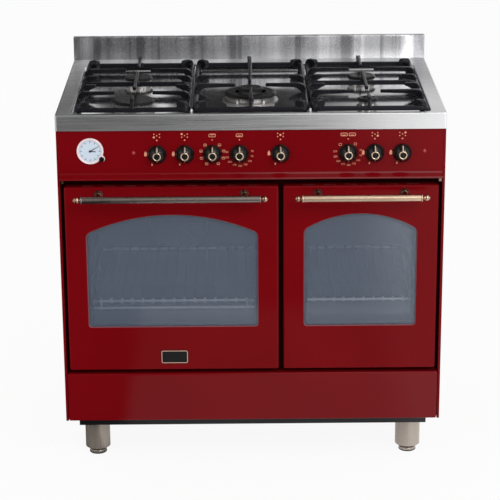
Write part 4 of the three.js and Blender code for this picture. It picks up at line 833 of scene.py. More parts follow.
def control_panel():
    """Folded sheet carried along X: upright face, sloped ledge, lip and turned-back flanges. The
    ledge's crease and the lip catch more light than the rest."""
    low, high = extent("control_panel")
    top, foot = high[2], low[2]
    section = filleted(
        [(24, top), (4, top), (4, foot + 13), (-8, foot + 3), (-8, foot), (24, foot),
         (24, foot + 1.5), (-6.5, foot + 1.5), (-6.5, foot + 2.3), (5.5, foot + 12.3),
         (5.5, top - 1.5), (24, top - 1.5)],
        [0, 2, 3.5, 2.4, 1.4, 0, 0, 0.4, 0.4, 2, 0.8, 0], 5)
    sheet = swept(section, low[0], high[0], 0.6)
    holes = [panel_hole(x, KNOB_Z, 6, 24) for x in (*TAP_XS.values(), *OVEN_XS.values())]
    holes += [panel_hole(x, LAMP_Z, 3.6, 20) for x in LAMP_XS.values()]
    holes.append(panel_hole(CLOCK[0], CLOCK[2], 24.4))
    mesh = cut_mesh("panel_skin", sheet, RED, holes)
    _, depth, z = face_centres(mesh)
    height = z - foot
    crease = (depth < 5) & (abs(height - 12.6) < 1.9)
    lip = (depth < -5.5) & (height > 0.3) & (height < 4.5)
    refinish(mesh, CREASE_RED, crease | lip)
    mounted(linked("panel_skin", mesh), BODY, ("control_panel",))


def mark(outline):
    """A flat printed shape: an outline of (x, z) with a little thickness on the panel."""
    outline = np.asarray(outline, float)
    return lofted([facing_front(outline, PRINT_BACK), facing_front(outline, PRINT_FRONT)])


def disc_mark(x, z, radius):
    """A printed dot."""
    angle = np.linspace(0, 2 * math.pi, 16, endpoint=False)
    return mark(np.column_stack([x + radius * np.cos(angle), z + radius * np.sin(angle)]))


def flame_mark(x, z, height):
    """A drop of height h: at the share s of its height it is 0.638 h s^0.5 (1 - s)^0.75 to either
    side of its middle."""
    s = np.linspace(0, 1, 13)
    half = 0.638 * height * np.sqrt(s) * (1 - s) ** 0.75
    side = np.column_stack([half, (s - 0.5) * height])
    loop = np.concatenate([side[:-1], (side * (-1, 1))[:0:-1]])
    return mark(loop + (x, z))


def frame_mark(x, z, width, height, line):
    """A hollow rounded rectangle."""
    area = (x - width / 2, x + width / 2, z - height / 2, z + height / 2)
    levels = [(0, PRINT_BACK), (0, PRINT_FRONT), (-line, PRINT_FRONT), (-line, PRINT_BACK)]
    return lofted(rings(area, levels, height * 0.3), closed=True)


def bar_mark(x, z, width, height):
    """A printed bar."""
    x0, x1, z0, z1 = x - width / 2, x + width / 2, z - height / 2, z + height / 2
    return mark([(x0, z0), (x1, z0), (x1, z1), (x0, z1)])


def number_mark(words, x, z, height):
    """Digits as a thin solid, centred on a place on the panel."""
    curve = bpy.data.curves.new("digits", "FONT")
    curve.body = words
    curve.size = 1
    curve.align_x = "CENTER"
    curve.align_y = "CENTER"
    curve.extrude = 0.01
    curve.resolution_u = 2
    mesh = baked(linked("digits", curve))
    flat = np.zeros(len(mesh.vertices) * 3)
    mesh.vertices.foreach_get("co", flat)
    across, up, depth = flat.reshape(-1, 3).T
    scale = height / DIGIT_HEIGHT
    level = np.where(depth > 0, PRINT_FRONT, PRINT_BACK)
    faces = [list(face.vertices) for face in mesh.polygons]
    return np.column_stack([x + across * scale, level, z + up * scale]), faces


def round_knob(x, degrees, across, up):
    """The place at a clockwise angle from the top of a knob, at a distance across and up."""
    a = math.radians(degrees)
    return x + across * math.sin(a), KNOB_Z + up * math.cos(a)


def tap_print(x, served):
    """Over a tap the map of the burners, with its own one large, and flames beside and below."""
    spots = [(-6.5, 4), (6.5, 4), (-6.5, -3.4), (6.5, -3.4), (0, 0.4)]
    marks = [disc_mark(x + dx, KNOB_Z + MAP_RISE + dz, 2.5 if i == served else 1.45)
             for i, (dx, dz) in enumerate(spots)]
    return marks + [disc_mark(x, KNOB_Z + DOT_RISE, 1.7), flame_mark(x - 26.4, KNOB_Z + 1, 12),
                    flame_mark(x - 12, KNOB_Z - 24.5, 5.4)]


def oven_print(name, x):
    """Over an oven knob one or two ovens with their elements; round it icons or degrees."""
    marks = [disc_mark(x, KNOB_Z + DOT_RISE, 1.5)]
    element = 1.6 if name == "oven_selector" else -1.4
    for dx in (-9.5, 9.5) if name == "oven_right" else (0,):
        marks.append(frame_mark(x + dx, KNOB_Z + OVEN_RISE, 16, 8, 1.3))
        marks.append(bar_mark(x + dx, KNOB_Z + OVEN_RISE + element, 8, 1.5))
    if name == "oven_selector":
        for i, degrees in enumerate((38, 75, 112, 150, 210, 248, 285, 322)):
            u, v = round_knob(x, degrees, ICON_REACH, ICON_REACH)
            marks.append(frame_mark(u, v, 7, 6, 0.9))
            marks.append(bar_mark(u, v + (-1.3, 0.0, 1.3)[i % 3], 4, 1.0))
        return marks
    for i, degrees in enumerate(range(78, 288, 25)):
        marks.append(number_mark(str(50 + 25 * i), *round_knob(x, degrees, 30, 29), 4.4))
    if name == "oven_right":
        for degrees in (38, 318):
            u, v = round_knob(x, degrees, ICON_REACH, ICON_REACH)
            marks.append(frame_mark(u, v, 7, 6, 0.9))
    return marks


def panel_print():
    """Burner maps, flames, oven icons and the thermostats' degrees."""
    served = {"front_left": 2, "rear_left": 0, "centre": 4, "front_right": 3, "rear_right": 1}
    shapes = []
    for name, x in TAP_XS.items():
        shapes += tap_print(x, served[name])
    for name, x in OVEN_XS.items():
        shapes += oven_print(name, x)
    piece("panel_print", [(shape, PRINT) for shape in shapes], BODY, weighted=False)


def grip_crest(up):
    """How far a knob's grip stands out at a height from its middle."""
    return 6.5 + 18.5 * (1 - (up / GRIP_REACH) ** 2) ** 1.2


def pointer_strip(x, start, end):
    """A brass strip on the crest of a knob's grip, narrow at its ends."""
    up = np.linspace(start, end, 12)
    half = np.interp(np.linspace(0, 1, 12), (0, 0.15, 0.85, 1), (0.8, 1.7, 1.7, 0.8))
    outline = [(-1, -0.6), (-1, 0.5), (-0.5, 1.1), (0.5, 1.1), (1, 0.5), (1, -0.6)]
    return lofted([
        np.array([(x + share * w, KNOB_Y - h - out, KNOB_Z + at) for share, out in outline])
        for at, h, w in zip(up, grip_crest(up), half)
    ])


def knob(name, x):
    """Black dome with a grip across it; a brass strip and ring lie on the crest of the grip.

    At the share s of its reach the grip stands out by 6.5 + 18.5 (1 - s^2)^1.2.
    """
    centre = (x, KNOB_Y, KNOB_Z)
    dome = filleted(
        [(0, 0.4), (21.2, 0.4), (22, 1.2), (22, 3.2), (20.6, 4.4), (19.6, 8), (15.5, 14.5),
         (10, 18.8), (0, 20.2)], [0, 0.4, 0.5, 0.8, 1.2, 3, 5, 5, 0], 5)
    rows = []
    for up in GRIP_REACH * np.linspace(-1, 1, 33):
        top = grip_crest(up)
        shoulder = max(top - 1.8, 4)
        across, out = filleted(
            [(-4.6, 3), (-3.7, shoulder), (-3.0, top), (3.0, top), (3.7, shoulder), (4.6, 3)],
            [0, 1.5, 1.2, 1.2, 1.5, 0], 3).T
        rows.append(np.column_stack([across + x, KNOB_Y - out, np.full(len(out), up + KNOB_Z)]))
    hub = filleted([(0, 14), (9.6, 14), (9.6, 23.4), (6.9, 24.2), (5.2, 22.6), (0, 22.2)],
                   [0, 0, 1.0, 0.5, 1, 0], 4)
    ring = [(8.2 + 1.55 * math.cos(a), 23.9 + 1.5 * math.sin(a))
            for a in np.linspace(0, 2 * math.pi, 14, endpoint=False)]
    stud = filleted([(0, 22), (2.4, 22), (2.2, 23.4), (0, 24)], [0, 0, 0.8, 0], 3)
    parts = [(turned(dome, centre, "front"), GLOSS_BLACK), (lofted(rows), GLOSS_BLACK),
             (turned(hub, centre, "front"), GLOSS_BLACK),
             (turned(ring, centre, "front", 40, closed=True), BRASS),
             (turned(stud, centre, "front", 20), BRASS),
             (pointer_strip(x, -17.5, -8.6), BRASS), (pointer_strip(x, 8.6, 19.6), BRASS)]
    piece(f"control_knob_{name}", parts, f"{name}_knob", (f"knob_{name}",), sharp=50)


def clock():
    """Turned case with a rolled bezel that swells round the set knob, dial with ticks, set knob."""
    case = filleted(
        [(0, -26), (24, -26), (24, -0.2), (31, -0.2), (31, 3.2), (29.2, 5.2), (26.8, 4.4),
         (26.3, 1.5), (0, 1.5)], [0, 1, 0, 0.5, 1.6, 1.4, 1.0, 0.2, 0], 5)
    boss = filleted([(0, 0), (7.4, 0), (7.4, 3.6), (6.2, 5), (0, 5)], [0, 0, 1.2, 0.8, 0], 4)
    at = CLOCK + (26.5, 0, -18)
    dial = [(0, 1.4), (25.6, 1.4), (25.6, 1.75), (0, 1.75)]
    parts = [(turned(case, CLOCK, "front", 72), BEZEL), (turned(boss, at, "front", 32), BEZEL),
             # The dial's blue-grey is painted shade on a white dial
             (turned(dial, CLOCK, "front", 72), DIAL_PAINTED_SHADE)]
    for minute in range(60):
        a = math.radians(6 * minute)
        turn = np.array([[math.cos(a), 0, -math.sin(a)], [0, 1, 0], [math.sin(a), 0, math.cos(a)]])
        half, length = (0.95, 4.6) if minute % 5 == 0 else (0.25, 1.8)
        points, faces = block((-half, -1.9, TICK_REACH - length), (half, -1.7, TICK_REACH))
        parts.append(((points @ turn + CLOCK, faces), TICK))
    arbor = filleted([(0, 1), (1.1, 1), (1.1, 4.6), (0, 4.6)], [0, 0, 0.4, 0], 3)
    parts.append((turned(arbor, CLOCK, "front", 16), GLOSS_BLACK))
    piece("clock_face", parts, BODY, ("clock_case",))
    knob_profile = filleted(
        [(0, 5.4), (6, 5.4), (6, 9.6), (4.9, 11.4), (0, 11.4)], [0, 0.4, 1.0, 0.8, 0], 4)
    piece("clock_knob", [(turned(knob_profile, at, "front", 24), GLOSS_BLACK)], "clock_set",
          ("clock_set_knob",))


def lamp(side):
    """Domed lens in a thin bezel."""
    centre = (LAMP_XS[side], PANEL_Y, LAMP_Z)
    lens = filleted([(0, -8), (3.2, -8), (3.2, 1), (2.6, 2.6), (0, 3.1)], [0, 0, 0.6, 1.4, 0], 4)
    rim = filleted([(3.1, 0.1), (4.0, 0.1), (3.9, 1.1), (3.1, 1.3)], 0.2, 2, closed=True)
    piece(f"indicator_{side}", [(turned(lens, centre, "front", 24), LENS),
                                (turned(rim, centre, "front", 24, closed=True), LENS)],
          BODY, (f"lamp_{side}",))


control_panel()
panel_print()
for knob_name, knob_x in {**TAP_XS, **OVEN_XS}.items():
    knob(knob_name, knob_x)
clock()
for lamp_side in LAMP_XS:
    lamp(lamp_side)
finish_node("clock_hour_hand", BLACK_PRINT)
finish_node("clock_minute_hand", BLACK_PRINT)

# ------------------------------------------------------------------ hob

HOB_TOP = 870
WELL = (-414, 414, 14, 500)
WELL_FLOOR = 860
WELL_SEAT = 860.3
CUP_FLOOR = 838
CROWN_TOP = 874.3
CROWN_INSET = 4  # of a crown from its cap's edge
CUP_INSET = 9  # of a cup from its crown's edge
PORT_DEPTH = 5
CAP_GAP = 0.3  # between a crown and its cap
CAP_HEIGHT = 6.5
STOP_YS = (21, 493)
GRATE_X = 273.33
BURNERS = {  # x, y, radius of the cap and count of the ports
    "rapid_front_left": (-GRATE_X, 108, 49, 44),
    "semi_rear_left": (-GRATE_X, 344, 35, 32),
    "aux_front_right": (GRATE_X, 108, 24, 22),
    "semi_rear_right": (GRATE_X, 344, 35, 32),
}
WOK = (0, 180, 62, 54)
WOK_CENTRE = 31  # radius of its centre cap
WOK_CENTRE_PORTS = 26
WOK_STEP = 10  # of its centre crown above the outer one
WOK_OPENING = 41  # that its grate's fingers leave round its middle


def hob_top():
    """Pressed top: outlines run from under the well's floor, along the inside of the apron, over
    its rounded edge and the flat margin, and down the well's sloped wall to its floor."""
    low, high = extent("hob_top")
    area = (low[0], high[0], low[1], high[1])
    foot = low[2]
    edge = filleted([(-2, foot), (0, foot), (0, HOB_TOP), (-9, HOB_TOP)], [0, 0.6, 3.2, 0], 6)
    wall = filleted([(5, HOB_TOP), (0, HOB_TOP), (-4.5, WELL_FLOOR), (-16, WELL_FLOOR)],
                    [0, 2.6, 4, 0], 6)
    under = [(-16, WELL_FLOOR - 2), (-3, WELL_FLOOR - 2), (2, HOB_TOP - 2)]
    sheet = lofted(
        rings(WELL, under, 15, lying)
        + rings(area, [(-2.5, HOB_TOP - 2), (-2.5, foot + 0.5)], 5, lying)
        + rings(area, edge, 5, lying)
        + rings(WELL, wall, 15, lying)
    )
    holes = []
    for x, y, radius, _ in (*BURNERS.values(), WOK):
        r = radius - CROWN_INSET - CUP_INSET + 0.5
        holes.append(turned([(0, -9), (r, -9), (r, 9), (0, 9)], (x, y, WELL_FLOOR), "up", 40))
    mesh = cut_mesh("hob_sheet", sheet, SATIN, holes)
    x, y, z = face_centres(mesh)
    in_well = (abs(x) < WELL[1] + 1) & (y > WELL[2] - 1) & (y < WELL[3] + 1) & (z < HOB_TOP - 0.3)
    refinish(mesh, WELL_STEEL, in_well)
    mounted(linked("hob_sheet", mesh), BODY, ("hob_top",), sharp=30)
    stop = filleted([(0, -1), (3.5, -1), (3.5, 16.5), (2.2, 18), (0, 18)], [0, 0, 1, 0.6, 0], 3)
    spots = [(side * GRATE_X / 2, y, WELL_FLOOR) for side in (-1, 1) for y in STOP_YS]
    piece("grate_stops", [(turned(stop, spot, "up", 20), CHROME) for spot in spots],
          BODY)


def backguard():
    """Folded upstand with rounded top edges, carried along X."""
    low, high = extent("backguard")
    section = filleted(
        [(low[1], low[2]), (low[1], high[2]), (high[1], high[2]), (high[1], low[2])],
        [0, 2.6, 2.6, 0], 5)
    piece("backguard_sheet", [(swept(section, low[0], high[0], 0.8), GUARD_STEEL)], BODY,
          ("backguard",), sharp=30)


def ported_ring(x, y, outer, inner, top, count):
    """A ring whose top edge is cut by radial ports.

    Each pitch of angle has a tooth and a slot; from the ports' floor upwards the radius is the
    outer one on a tooth, and just outside the inner one in a slot.
    """
    shares = np.array([-0.31, -0.1, 0.1, 0.31, 0.33, 0.44, 0.56, 0.67])
    angle = ((np.arange(count)[:, None] + shares[None, :]) * 2 * math.pi / count).ravel()
    tooth = np.tile(shares < 0.32, count)
    plain = np.ones(len(angle), bool)
    foot, port = WELL_SEAT + 3, top - PORT_DEPTH
    levels = [
        (outer, foot, plain), (outer, port, plain), (outer, port, tooth), (outer, top - 0.7, tooth),
        (outer - 0.7, top, tooth), (inner, top, plain), (inner, foot, plain),
    ]
    rows = []
    for radius, z, full in levels:
        r = np.where(full, radius, inner + 0.3)
        rows.append(lying(np.column_stack([x + r * np.cos(angle), y + r * np.sin(angle)]), z))
    return lofted(rows, closed=True)


def burner_body(x, y, flange, crown):
    """Cup through the well, flange on it and a shoulder under the crown, turned."""
    cup = crown - CUP_INSET
    profile = filleted(
        [(0, CUP_FLOOR), (cup, CUP_FLOOR), (cup, WELL_SEAT), (flange, WELL_SEAT),
         (flange, WELL_SEAT + 1.8), (crown + 1, WELL_SEAT + 4), (crown - 1, WELL_SEAT + 5),
         (cup - 3, WELL_SEAT + 4), (cup - 3, CUP_FLOOR + 3), (0, CUP_FLOOR + 3)],
        [0, 2, 0, 0.5, 1.0, 2, 0.5, 1, 1, 0], 4)
    return turned(profile, (x, y, 0), "up", 72)


def pin(x, y, reach, degrees, tip):
    """Ceramic pin with a wire tip, beside a crown."""
    a = math.radians(degrees)
    at = (x + reach * math.cos(a), y + reach * math.sin(a), WELL_FLOOR)
    ceramic = filleted([(0, 0), (2.8, 0), (2.8, 6), (2.1, 7), (2.1, 10), (0, 10)],
                       [0, 0, 0.5, 0.3, 0.6, 0], 3)
    wire = filleted([(0, 8), (0.8, 8), (0.8, tip), (0, tip)], [0, 0, 0.4, 0], 2)
    return [(turned(ceramic, at, "up", 16), CERAMIC), (turned(wire, at, "up", 10), CHROME)]


def cap_profile(radius, under, spigot):
    """Underside with a spigot, rounded rim and a faintly dished top."""
    top = under + CAP_HEIGHT
    return filleted(
        [(0, under - 3), (spigot, under - 3), (spigot, under), (radius, under),
         (radius, under + 2.6), (radius - 3.6, top), (radius * 0.6, top - 0.5), (0, top - 0.6)],
        [0, 0.4, 0, 0.6, 1.6, 2.4, 4, 0], 4)


def lid(name, shape):
    """A burner's enamelled cap."""
    piece(f"lid_{name}", [(shape, CAP_ENAMEL)], BODY, (f"cap_{name}",), sharp=50)


def burner(name, x, y, radius, ports):
    """Cup, ported crown, igniter and flame sensor, and the cap on them."""
    crown = radius - CROWN_INSET
    parts = [
        (burner_body(x, y, radius + 2, crown), ALLOY),
        (ported_ring(x, y, crown, crown - 6, CROWN_TOP, ports), ALLOY),
        *pin(x, y, crown + 3.4, -62, 13), *pin(x, y, crown + 3.4, -118, 14),
    ]
    piece(f"crown_{name}", parts, BODY, (f"burner_{name}",), sharp=35)
    profile = cap_profile(radius, CROWN_TOP + CAP_GAP, crown - 7)
    lid(name, turned(profile, (x, y, 0), "up", 72))


def wok_burner():
    """A wide ring crown round a taller one, with a ring cap and a centre cap."""
    x, y, radius, ports = WOK
    crown, centre = radius - CROWN_INSET, WOK_CENTRE - CROWN_INSET
    centre_top = CROWN_TOP + WOK_STEP
    floor = [(0, WELL_FLOOR + 1), (crown - 6, WELL_FLOOR + 1), (crown - 6, WELL_FLOOR + 5),
             (0, WELL_FLOOR + 5)]
    parts = [
        (burner_body(x, y, radius + 4, crown), ALLOY),
        (ported_ring(x, y, crown, crown - 8, CROWN_TOP, ports), ALLOY),
        (ported_ring(x, y, centre, centre - 6, centre_top, WOK_CENTRE_PORTS), ALLOY),
        (turned(floor, (x, y, 0), "up", 72), ALLOY),
        *pin(x, y, crown + 3.6, -60, 13), *pin(x, y, crown + 3.6, -120, 14),
    ]
    piece("crown_wok", parts, BODY, ("burner_wok_centre",), sharp=35)
    under, hole = CROWN_TOP + CAP_GAP, WOK_CENTRE + 6
    top = under + CAP_HEIGHT
    ring = filleted(
        [(hole, under - 3), (crown - 9, under - 3), (crown - 9, under), (radius, under),
         (radius, under + 2.2), (radius - 5, top), (hole, top)],
        [0.5, 0.5, 0, 0.6, 1.4, 2.4, 1.2], 4, closed=True)
    lid("wok_ring", turned(ring, (x, y, 0), "up", 80, closed=True))
    profile = cap_profile(WOK_CENTRE, centre_top + CAP_GAP, centre - 7)
    lid("wok_centre", turned(profile, (x, y, 0), "up", 64))


PAN_PLANE = 900
BAR_FOOT = 870
BAR_TOP = 881
ARM_TOP = 892  # of corner arms and lugs
CROSS_TOP = 887
FINGER_UNDER = 888
LUG_REACH = 40
LUG_SPACING = 45
FINGER_GAP = 30  # least distance of a finger's tip from a burner's centre
CASTING_CELL = 1.5


def rib(points, radii, root, angle, top_width=9, foot_width=5, swell=0.0, tip=1.0):
    """A cast rib: a side outline of (run, height) with rounded corners, given a thickness.

    The thickness grows linearly from the foot's to the top's between the bar's underside and the
    pan plane, and by a bell of height swell near the root, exp(-((run - 12) / 9)^2). Along the run
    it falls off linearly to the share tip.
    """
    outline = filleted(points, radii, 4, closed=True)
    run, height = outline.T
    share = np.clip((height - BAR_FOOT) / (PAN_PLANE - BAR_FOOT), 0, 1)
    half = (foot_width + share * (top_width - foot_width)) / 2
    half = half * (1 + swell * np.exp(-(((run - 12) / 9) ** 2))) * (1 - (1 - tip) * run / run.max())
    c, s = math.cos(angle), math.sin(angle)
    sides = [
        np.column_stack([root[0] + run * c - w * s, root[1] + run * s + w * c, height])
        for w in (-half, half)
    ]
    return lofted(sides)


def finger(root, angle, length):
    """Rises from the frame, runs level at the pan plane and thins towards its blunt tip."""
    return rib(
        [(1, BAR_FOOT + 1), (8, BAR_FOOT + 1), (24, FINGER_UNDER + 1),
         (length - 3, FINGER_UNDER + 4), (length, FINGER_UNDER + 3), (length, PAN_PLANE),
         (14, PAN_PLANE), (6, PAN_PLANE - 5), (1, BAR_TOP)],
        [1, 3, 8, 2, 1, 2, 5, 4, 1], root, angle, swell=0.45, tip=0.65)


def lug(root, angle):
    """A short blunt nose that points inward from a side bar."""
    return rib(
        [(1, BAR_FOOT + 1), (10, BAR_FOOT + 1), (34, ARM_TOP - 9), (LUG_REACH, ARM_TOP - 7),
         (LUG_REACH, ARM_TOP), (10, ARM_TOP), (1, BAR_TOP)],
        [1, 3, 3, 1.5, 2.5, 5, 1], root, angle, 12, 9)


def corner_arm(root, angle):
    """A low arm that braces a corner of the frame."""
    return rib(
        [(3, BAR_FOOT + 1), (30, BAR_FOOT + 1), (38, BAR_FOOT + 12), (34, ARM_TOP), (10, ARM_TOP),
         (3, BAR_TOP)], [1, 4, 3, 5, 6, 2], root, angle, 14, 12)


def cross_bar(root, length):
    """Runs from side to side between two burners, a little above the frame."""
    under = CROSS_TOP - (BAR_TOP - BAR_FOOT)
    return rib(
        [(2, BAR_FOOT + 1), (9, BAR_FOOT + 1), (24, under), (length - 24, under),
         (length - 9, BAR_FOOT + 1), (length - 2, BAR_FOOT + 1), (length - 2, BAR_TOP),
         (length - 16, CROSS_TOP), (16, CROSS_TOP), (2, BAR_TOP)],
        [1, 3, 8, 8, 3, 1, 1, 7, 7, 1], root, 0, 9, 6)


def double_finger(x, start, end, cross):
    """A finger that points both ways from a stem on the cross bar."""
    length, stem = end - start, cross - start
    foot = CROSS_TOP - 4
    return rib(
        [(0, FINGER_UNDER + 4), (stem - 12, FINGER_UNDER), (stem - 5, foot), (stem + 5, foot),
         (stem + 12, FINGER_UNDER), (length, FINGER_UNDER + 4), (length, PAN_PLANE),
         (0, PAN_PLANE)],
        [1.5, 8, 2, 2, 8, 1.5, 2, 2], (x, start), math.pi / 2)


def grate(name, centres):
    """Frame bar, corner arms, feet, fingers to each burner's centre (y, radius), lugs and a cross
    bar, fused by a fine voxel grid that leaves the small fillets of a casting."""
    low, high = extent(f"grate_{name}")
    x0, x1, y0, y1 = low[0], high[0], low[1], high[1]
    middle, cross = (x0 + x1) / 2, (y0 + y1) / 2
    section = filleted([(0, BAR_FOOT), (-0.6, BAR_TOP), (-9.4, BAR_TOP), (-10, BAR_FOOT)], 2.6, 3,
                       closed=True)
    shapes = [lofted(rings((x0, x1, y0, y1), section, 16, lying), closed=True)]
    foot = [(0, WELL_SEAT), (4.2, WELL_SEAT), (4.5, BAR_FOOT + 2), (0, BAR_FOOT + 2)]
    for x, y, degrees in ((x0, y0, 45), (x1, y0, 135), (x1, y1, 225), (x0, y1, 315)):
        a = math.radians(degrees)
        u, v = math.cos(a), math.sin(a)
        shapes.append(corner_arm((x + 4.8 * u, y + 4.8 * v), a))
        shapes.append(turned(foot, (x + 14 * u, y + 14 * v, 0), "up", 16))
    for y, radius in centres:
        length = middle - x0 - max(FINGER_GAP, radius - 5)
        shapes += [finger((x0, y), 0, length), finger((x1, y), math.pi, length)]
    (front, front_radius), (rear, rear_radius) = centres[0], centres[-1]
    start = front - max(FINGER_GAP, front_radius - 8)
    end = rear + max(FINGER_GAP, rear_radius - 5)
    shapes.append(finger((middle, y0), math.pi / 2, start - y0))
    shapes.append(finger((middle, y1), -math.pi / 2, y1 - end))
    lug_places = [cross + LUG_SPACING]
    if len(centres) > 1:
        lug_places.append(cross - LUG_SPACING)
        shapes.append(cross_bar((x0, cross), x1 - x0))
        shapes.append(double_finger(middle, 2 * front - start, 2 * rear - end, cross))
    for y in lug_places:
        shapes += [lug((x0, y), 0), lug((x1, y), math.pi)]
    blank = linked("casting", mesh_of("casting", [(shape, IRON) for shape in shapes]))
    voxels = blank.modifiers.new("fuse", "REMESH")
    voxels.mode = "VOXEL"
    voxels.voxel_size = CASTING_CELL * MM
    soften = blank.modifiers.new("cast_fillets", "SMOOTH")
    soften.factor = 0.5
    soften.iterations = 3
    mesh = baked(blank)
    mesh.name = f"casting_{name}"
    mesh.materials.clear()
    mesh.materials.append(IRON)
    mounted(linked(f"casting_{name}", mesh), BODY, (f"grate_{name}",), sharp=180,
            weighted=False)


hob_top()
backguard()
for burner_name, (bx, by, burner_radius, port_count) in BURNERS.items():
    burner(burner_name, bx, by, burner_radius, port_count)
wok_burner()
grate("left", [BURNERS["rapid_front_left"][1:3], BURNERS["semi_rear_left"][1:3]])
grate("middle", [(WOK[1], WOK_OPENING)])
grate("right", [BURNERS["aux_front_right"][1:3], BURNERS["semi_rear_right"][1:3]])

# ------------------------------------------------------------------ ovens

WIRE_PITCH = 24.5
RAIL_RADIUS = 3
OVEN_BACK = 472


def oven_rack(side):
    """Round rim, wires bent down over its two rails, and a lower rail in the large oven."""
    def wire(points, radius=1.6, sides=8, material=RACK_WIRE):
        """Adds a wire along a line of points."""
        parts.append((tube(points, radius, sides), material))

    low, high = extent(f"oven_rack_{side}")
    (x0, y0, _), (x1, y1, z) = low + RAIL_RADIUS, high - RAIL_RADIUS
    rim = lying(rounded_outline(x0, x1, y0, y1, 9), z)
    parts = [(tube(rim, RAIL_RADIUS, 12, closed=True), RACK_WIRE)]
    count = round((x1 - x0) / WIRE_PITCH) - 1
    xs = x0 + (x1 - x0) / (count + 1) * np.arange(1, count + 1)
    top = z + 4.2
    for x in xs:
        hook = [(x, y0 - 4.3, z - 3.5), (x, y0 - 4.3, top + 1), (x, y0 + 4, top)]
        long = [(x, y0 + 4, top), (x, y1 + 4.3, top), (x, y1 + 4.3, z - 2.5)]
        wire(filleted(hook, [0, 3, 0], 4), 2.0, 10)
        # The long wires are near black: painted shade deep inside the oven
        wire(filleted(long, [0, 3, 0], 4), material=WIRE_PAINTED_SHADE)
    if side == "left":
        rail = z - 18
        wire([(x0 + 2, y0, rail), (x1 - 2, y0, rail)], RAIL_RADIUS, 12)
        for x in xs:
            bead = [(x, y0 - 3.6, rail - 3), (x, y0 - 4.6, rail), (x, y0 - 3.6, rail + 3)]
            wire(filleted(bead, [0, 2, 0], 3), 1.7)
        for x in (xs[0], xs[-1]):
            wire([(x, y0, rail), (x, y0, z)], 1.7)
    piece(f"rack_{side}", parts, BODY, (f"oven_rack_{side}",), sharp=60,
          weighted=False)


def oven_fittings(side):
    """Seal round the mouth, grill element under the roof, and a lamp on the back wall."""
    x0, x1, z0, z1 = np.array(front_area(f"oven_liner_{side}")) + (13, -13, 13, -13)
    loop = rounded_outline(x0 - 7, x1 + 7, z0 - 7, z1 + 7, 14)
    piece(f"mouth_seal_{side}", [(tube(facing_front(loop, 38.0), 2.0, 10, closed=True), SEAL)],
          BODY, weighted=False)
    xs = np.linspace(x0 + 60, x1 - 60, 6 if side == "left" else 4)
    turns = [(x, y) for i, x in enumerate(xs) for y in ((90, 400) if i % 2 else (400, 90))]
    turns[0], turns[-1] = (xs[0], OVEN_BACK - 1), (xs[-1], OVEN_BACK - 1)
    path = filleted([(x, y, z1 - 16) for x, y in turns], 18, 6)
    piece(f"grill_element_{side}", [(tube(path, 3.4, 10), ELEMENT)], BODY,
          weighted=False)
    centre = (x1 - 50, OVEN_BACK, z1 - 60) if side == "left" else ((x0 + x1) / 2, OVEN_BACK, 505)
    holder = filleted([(19, 0), (24, 0), (24, 5), (19, 6)], 1, 3, closed=True)
    dome = filleted([(0, 0), (19, 0), (19, 6), (13, 13), (0, 15)], [0, 0, 3, 5, 0], 5)
    piece(f"oven_lamp_{side}", [(turned(holder, centre, "front", 36, closed=True), CHROME),
                                (turned(dome, centre, "front", 36), LAMP_GLASS)],
          BODY)


for oven_side in ("left", "right"):
    eased_copy(f"oven_liner_{oven_side}", LINER_BLACK, BODY, 0.4)
    oven_rack(oven_side)
    oven_fittings(oven_side)

# ------------------------------------------------------------------ cabinet and feet

SCREW_XS = (-432, -216, 0, 216, 432)
SIDE_SCREW_XS = (-437, 437)
SIDE_SCREW_ZS = (300, 480, 640)
BRACKET_XS = (-438, 438)
BRACKET_Z = 705


def foot(place, side):
    """Turned steel sleeve round a threaded stem that carries the pad.

    The stem's radius is 5.7 + 0.3 cos(pi h) at every whole height h, so that ridge and groove
    take turns.
    """
    low, high = extent(f"foot_sleeve_{place}_{side}")
    centre = (low + high) / 2 * (1, 1, 0)
    sleeve = filleted(
        [(6.4, 84), (27, 84), (27, 17), (30, 17), (30, 92), (6.4, 92)], [0, 1, 0.5, 1, 1.4, 0], 4,
        closed=True)
    piece(f"leg_{place}_{side}", [(turned(sleeve, centre, "up", 56, closed=True), LEG_STEEL)],
          BODY, (f"foot_sleeve_{place}_{side}",))
    base = filleted([(0, 0), (20, 0), (21, 1), (21, 3.5), (0, 3.5)], [0, 0.6, 0.6, 0.8, 0], 3)
    shoe = filleted([(0, 3), (20.6, 3), (20.6, 8.4), (17, 11), (6, 15), (0, 15)],
                    [0, 0.4, 1.6, 2, 1, 0], 4)
    rise = np.arange(14, 90, 1.0)
    thread = np.column_stack([5.7 + 0.3 * np.cos(rise * math.pi), rise])
    stem = np.concatenate([[(0, 14)], thread, [(0, 89.5)]])
    piece(f"shoe_{place}_{side}",
          [(turned(base, centre, "up", 40), RUBBER), (turned(shoe, centre, "up", 40), LEG_STEEL),
           (turned(stem, centre, "up", 20), GALVANISED)],
          f"{place}_{side}_foot", (f"foot_pad_{place}_{side}",))


def small_fittings():
    """Pan-head screws on the rear panel and under the panel's ends two small steel brackets."""
    head = filleted([(0, -1), (4.2, -1), (4.2, 1.2), (2.6, 2.4), (0, 2.6)], [0, 0, 0.8, 0.8, 0], 3)
    low, high = extent("rear_panel")
    spots = [(x, z) for x in SCREW_XS for z in (low[2] + 14, high[2] - 14)]
    spots += [(x, z) for x in SIDE_SCREW_XS for z in SIDE_SCREW_ZS]
    screws = [(turned(head, (x, high[1], z), "back", 20), GALVANISED) for x, z in spots]
    piece("rear_screws", screws, BODY)
    brackets = []
    for x in BRACKET_XS:
        lying_leg = block((x - 3, 7, BRACKET_Z), (x + 3, 42, BRACKET_Z + 1.2))
        upright_leg = block((x - 3, 5.8, BRACKET_Z), (x + 3, 7, BRACKET_Z + 7))
        brackets += [(lying_leg, ROSETTE_METAL), (upright_leg, ROSETTE_METAL)]
    piece("panel_brackets", brackets, BODY)


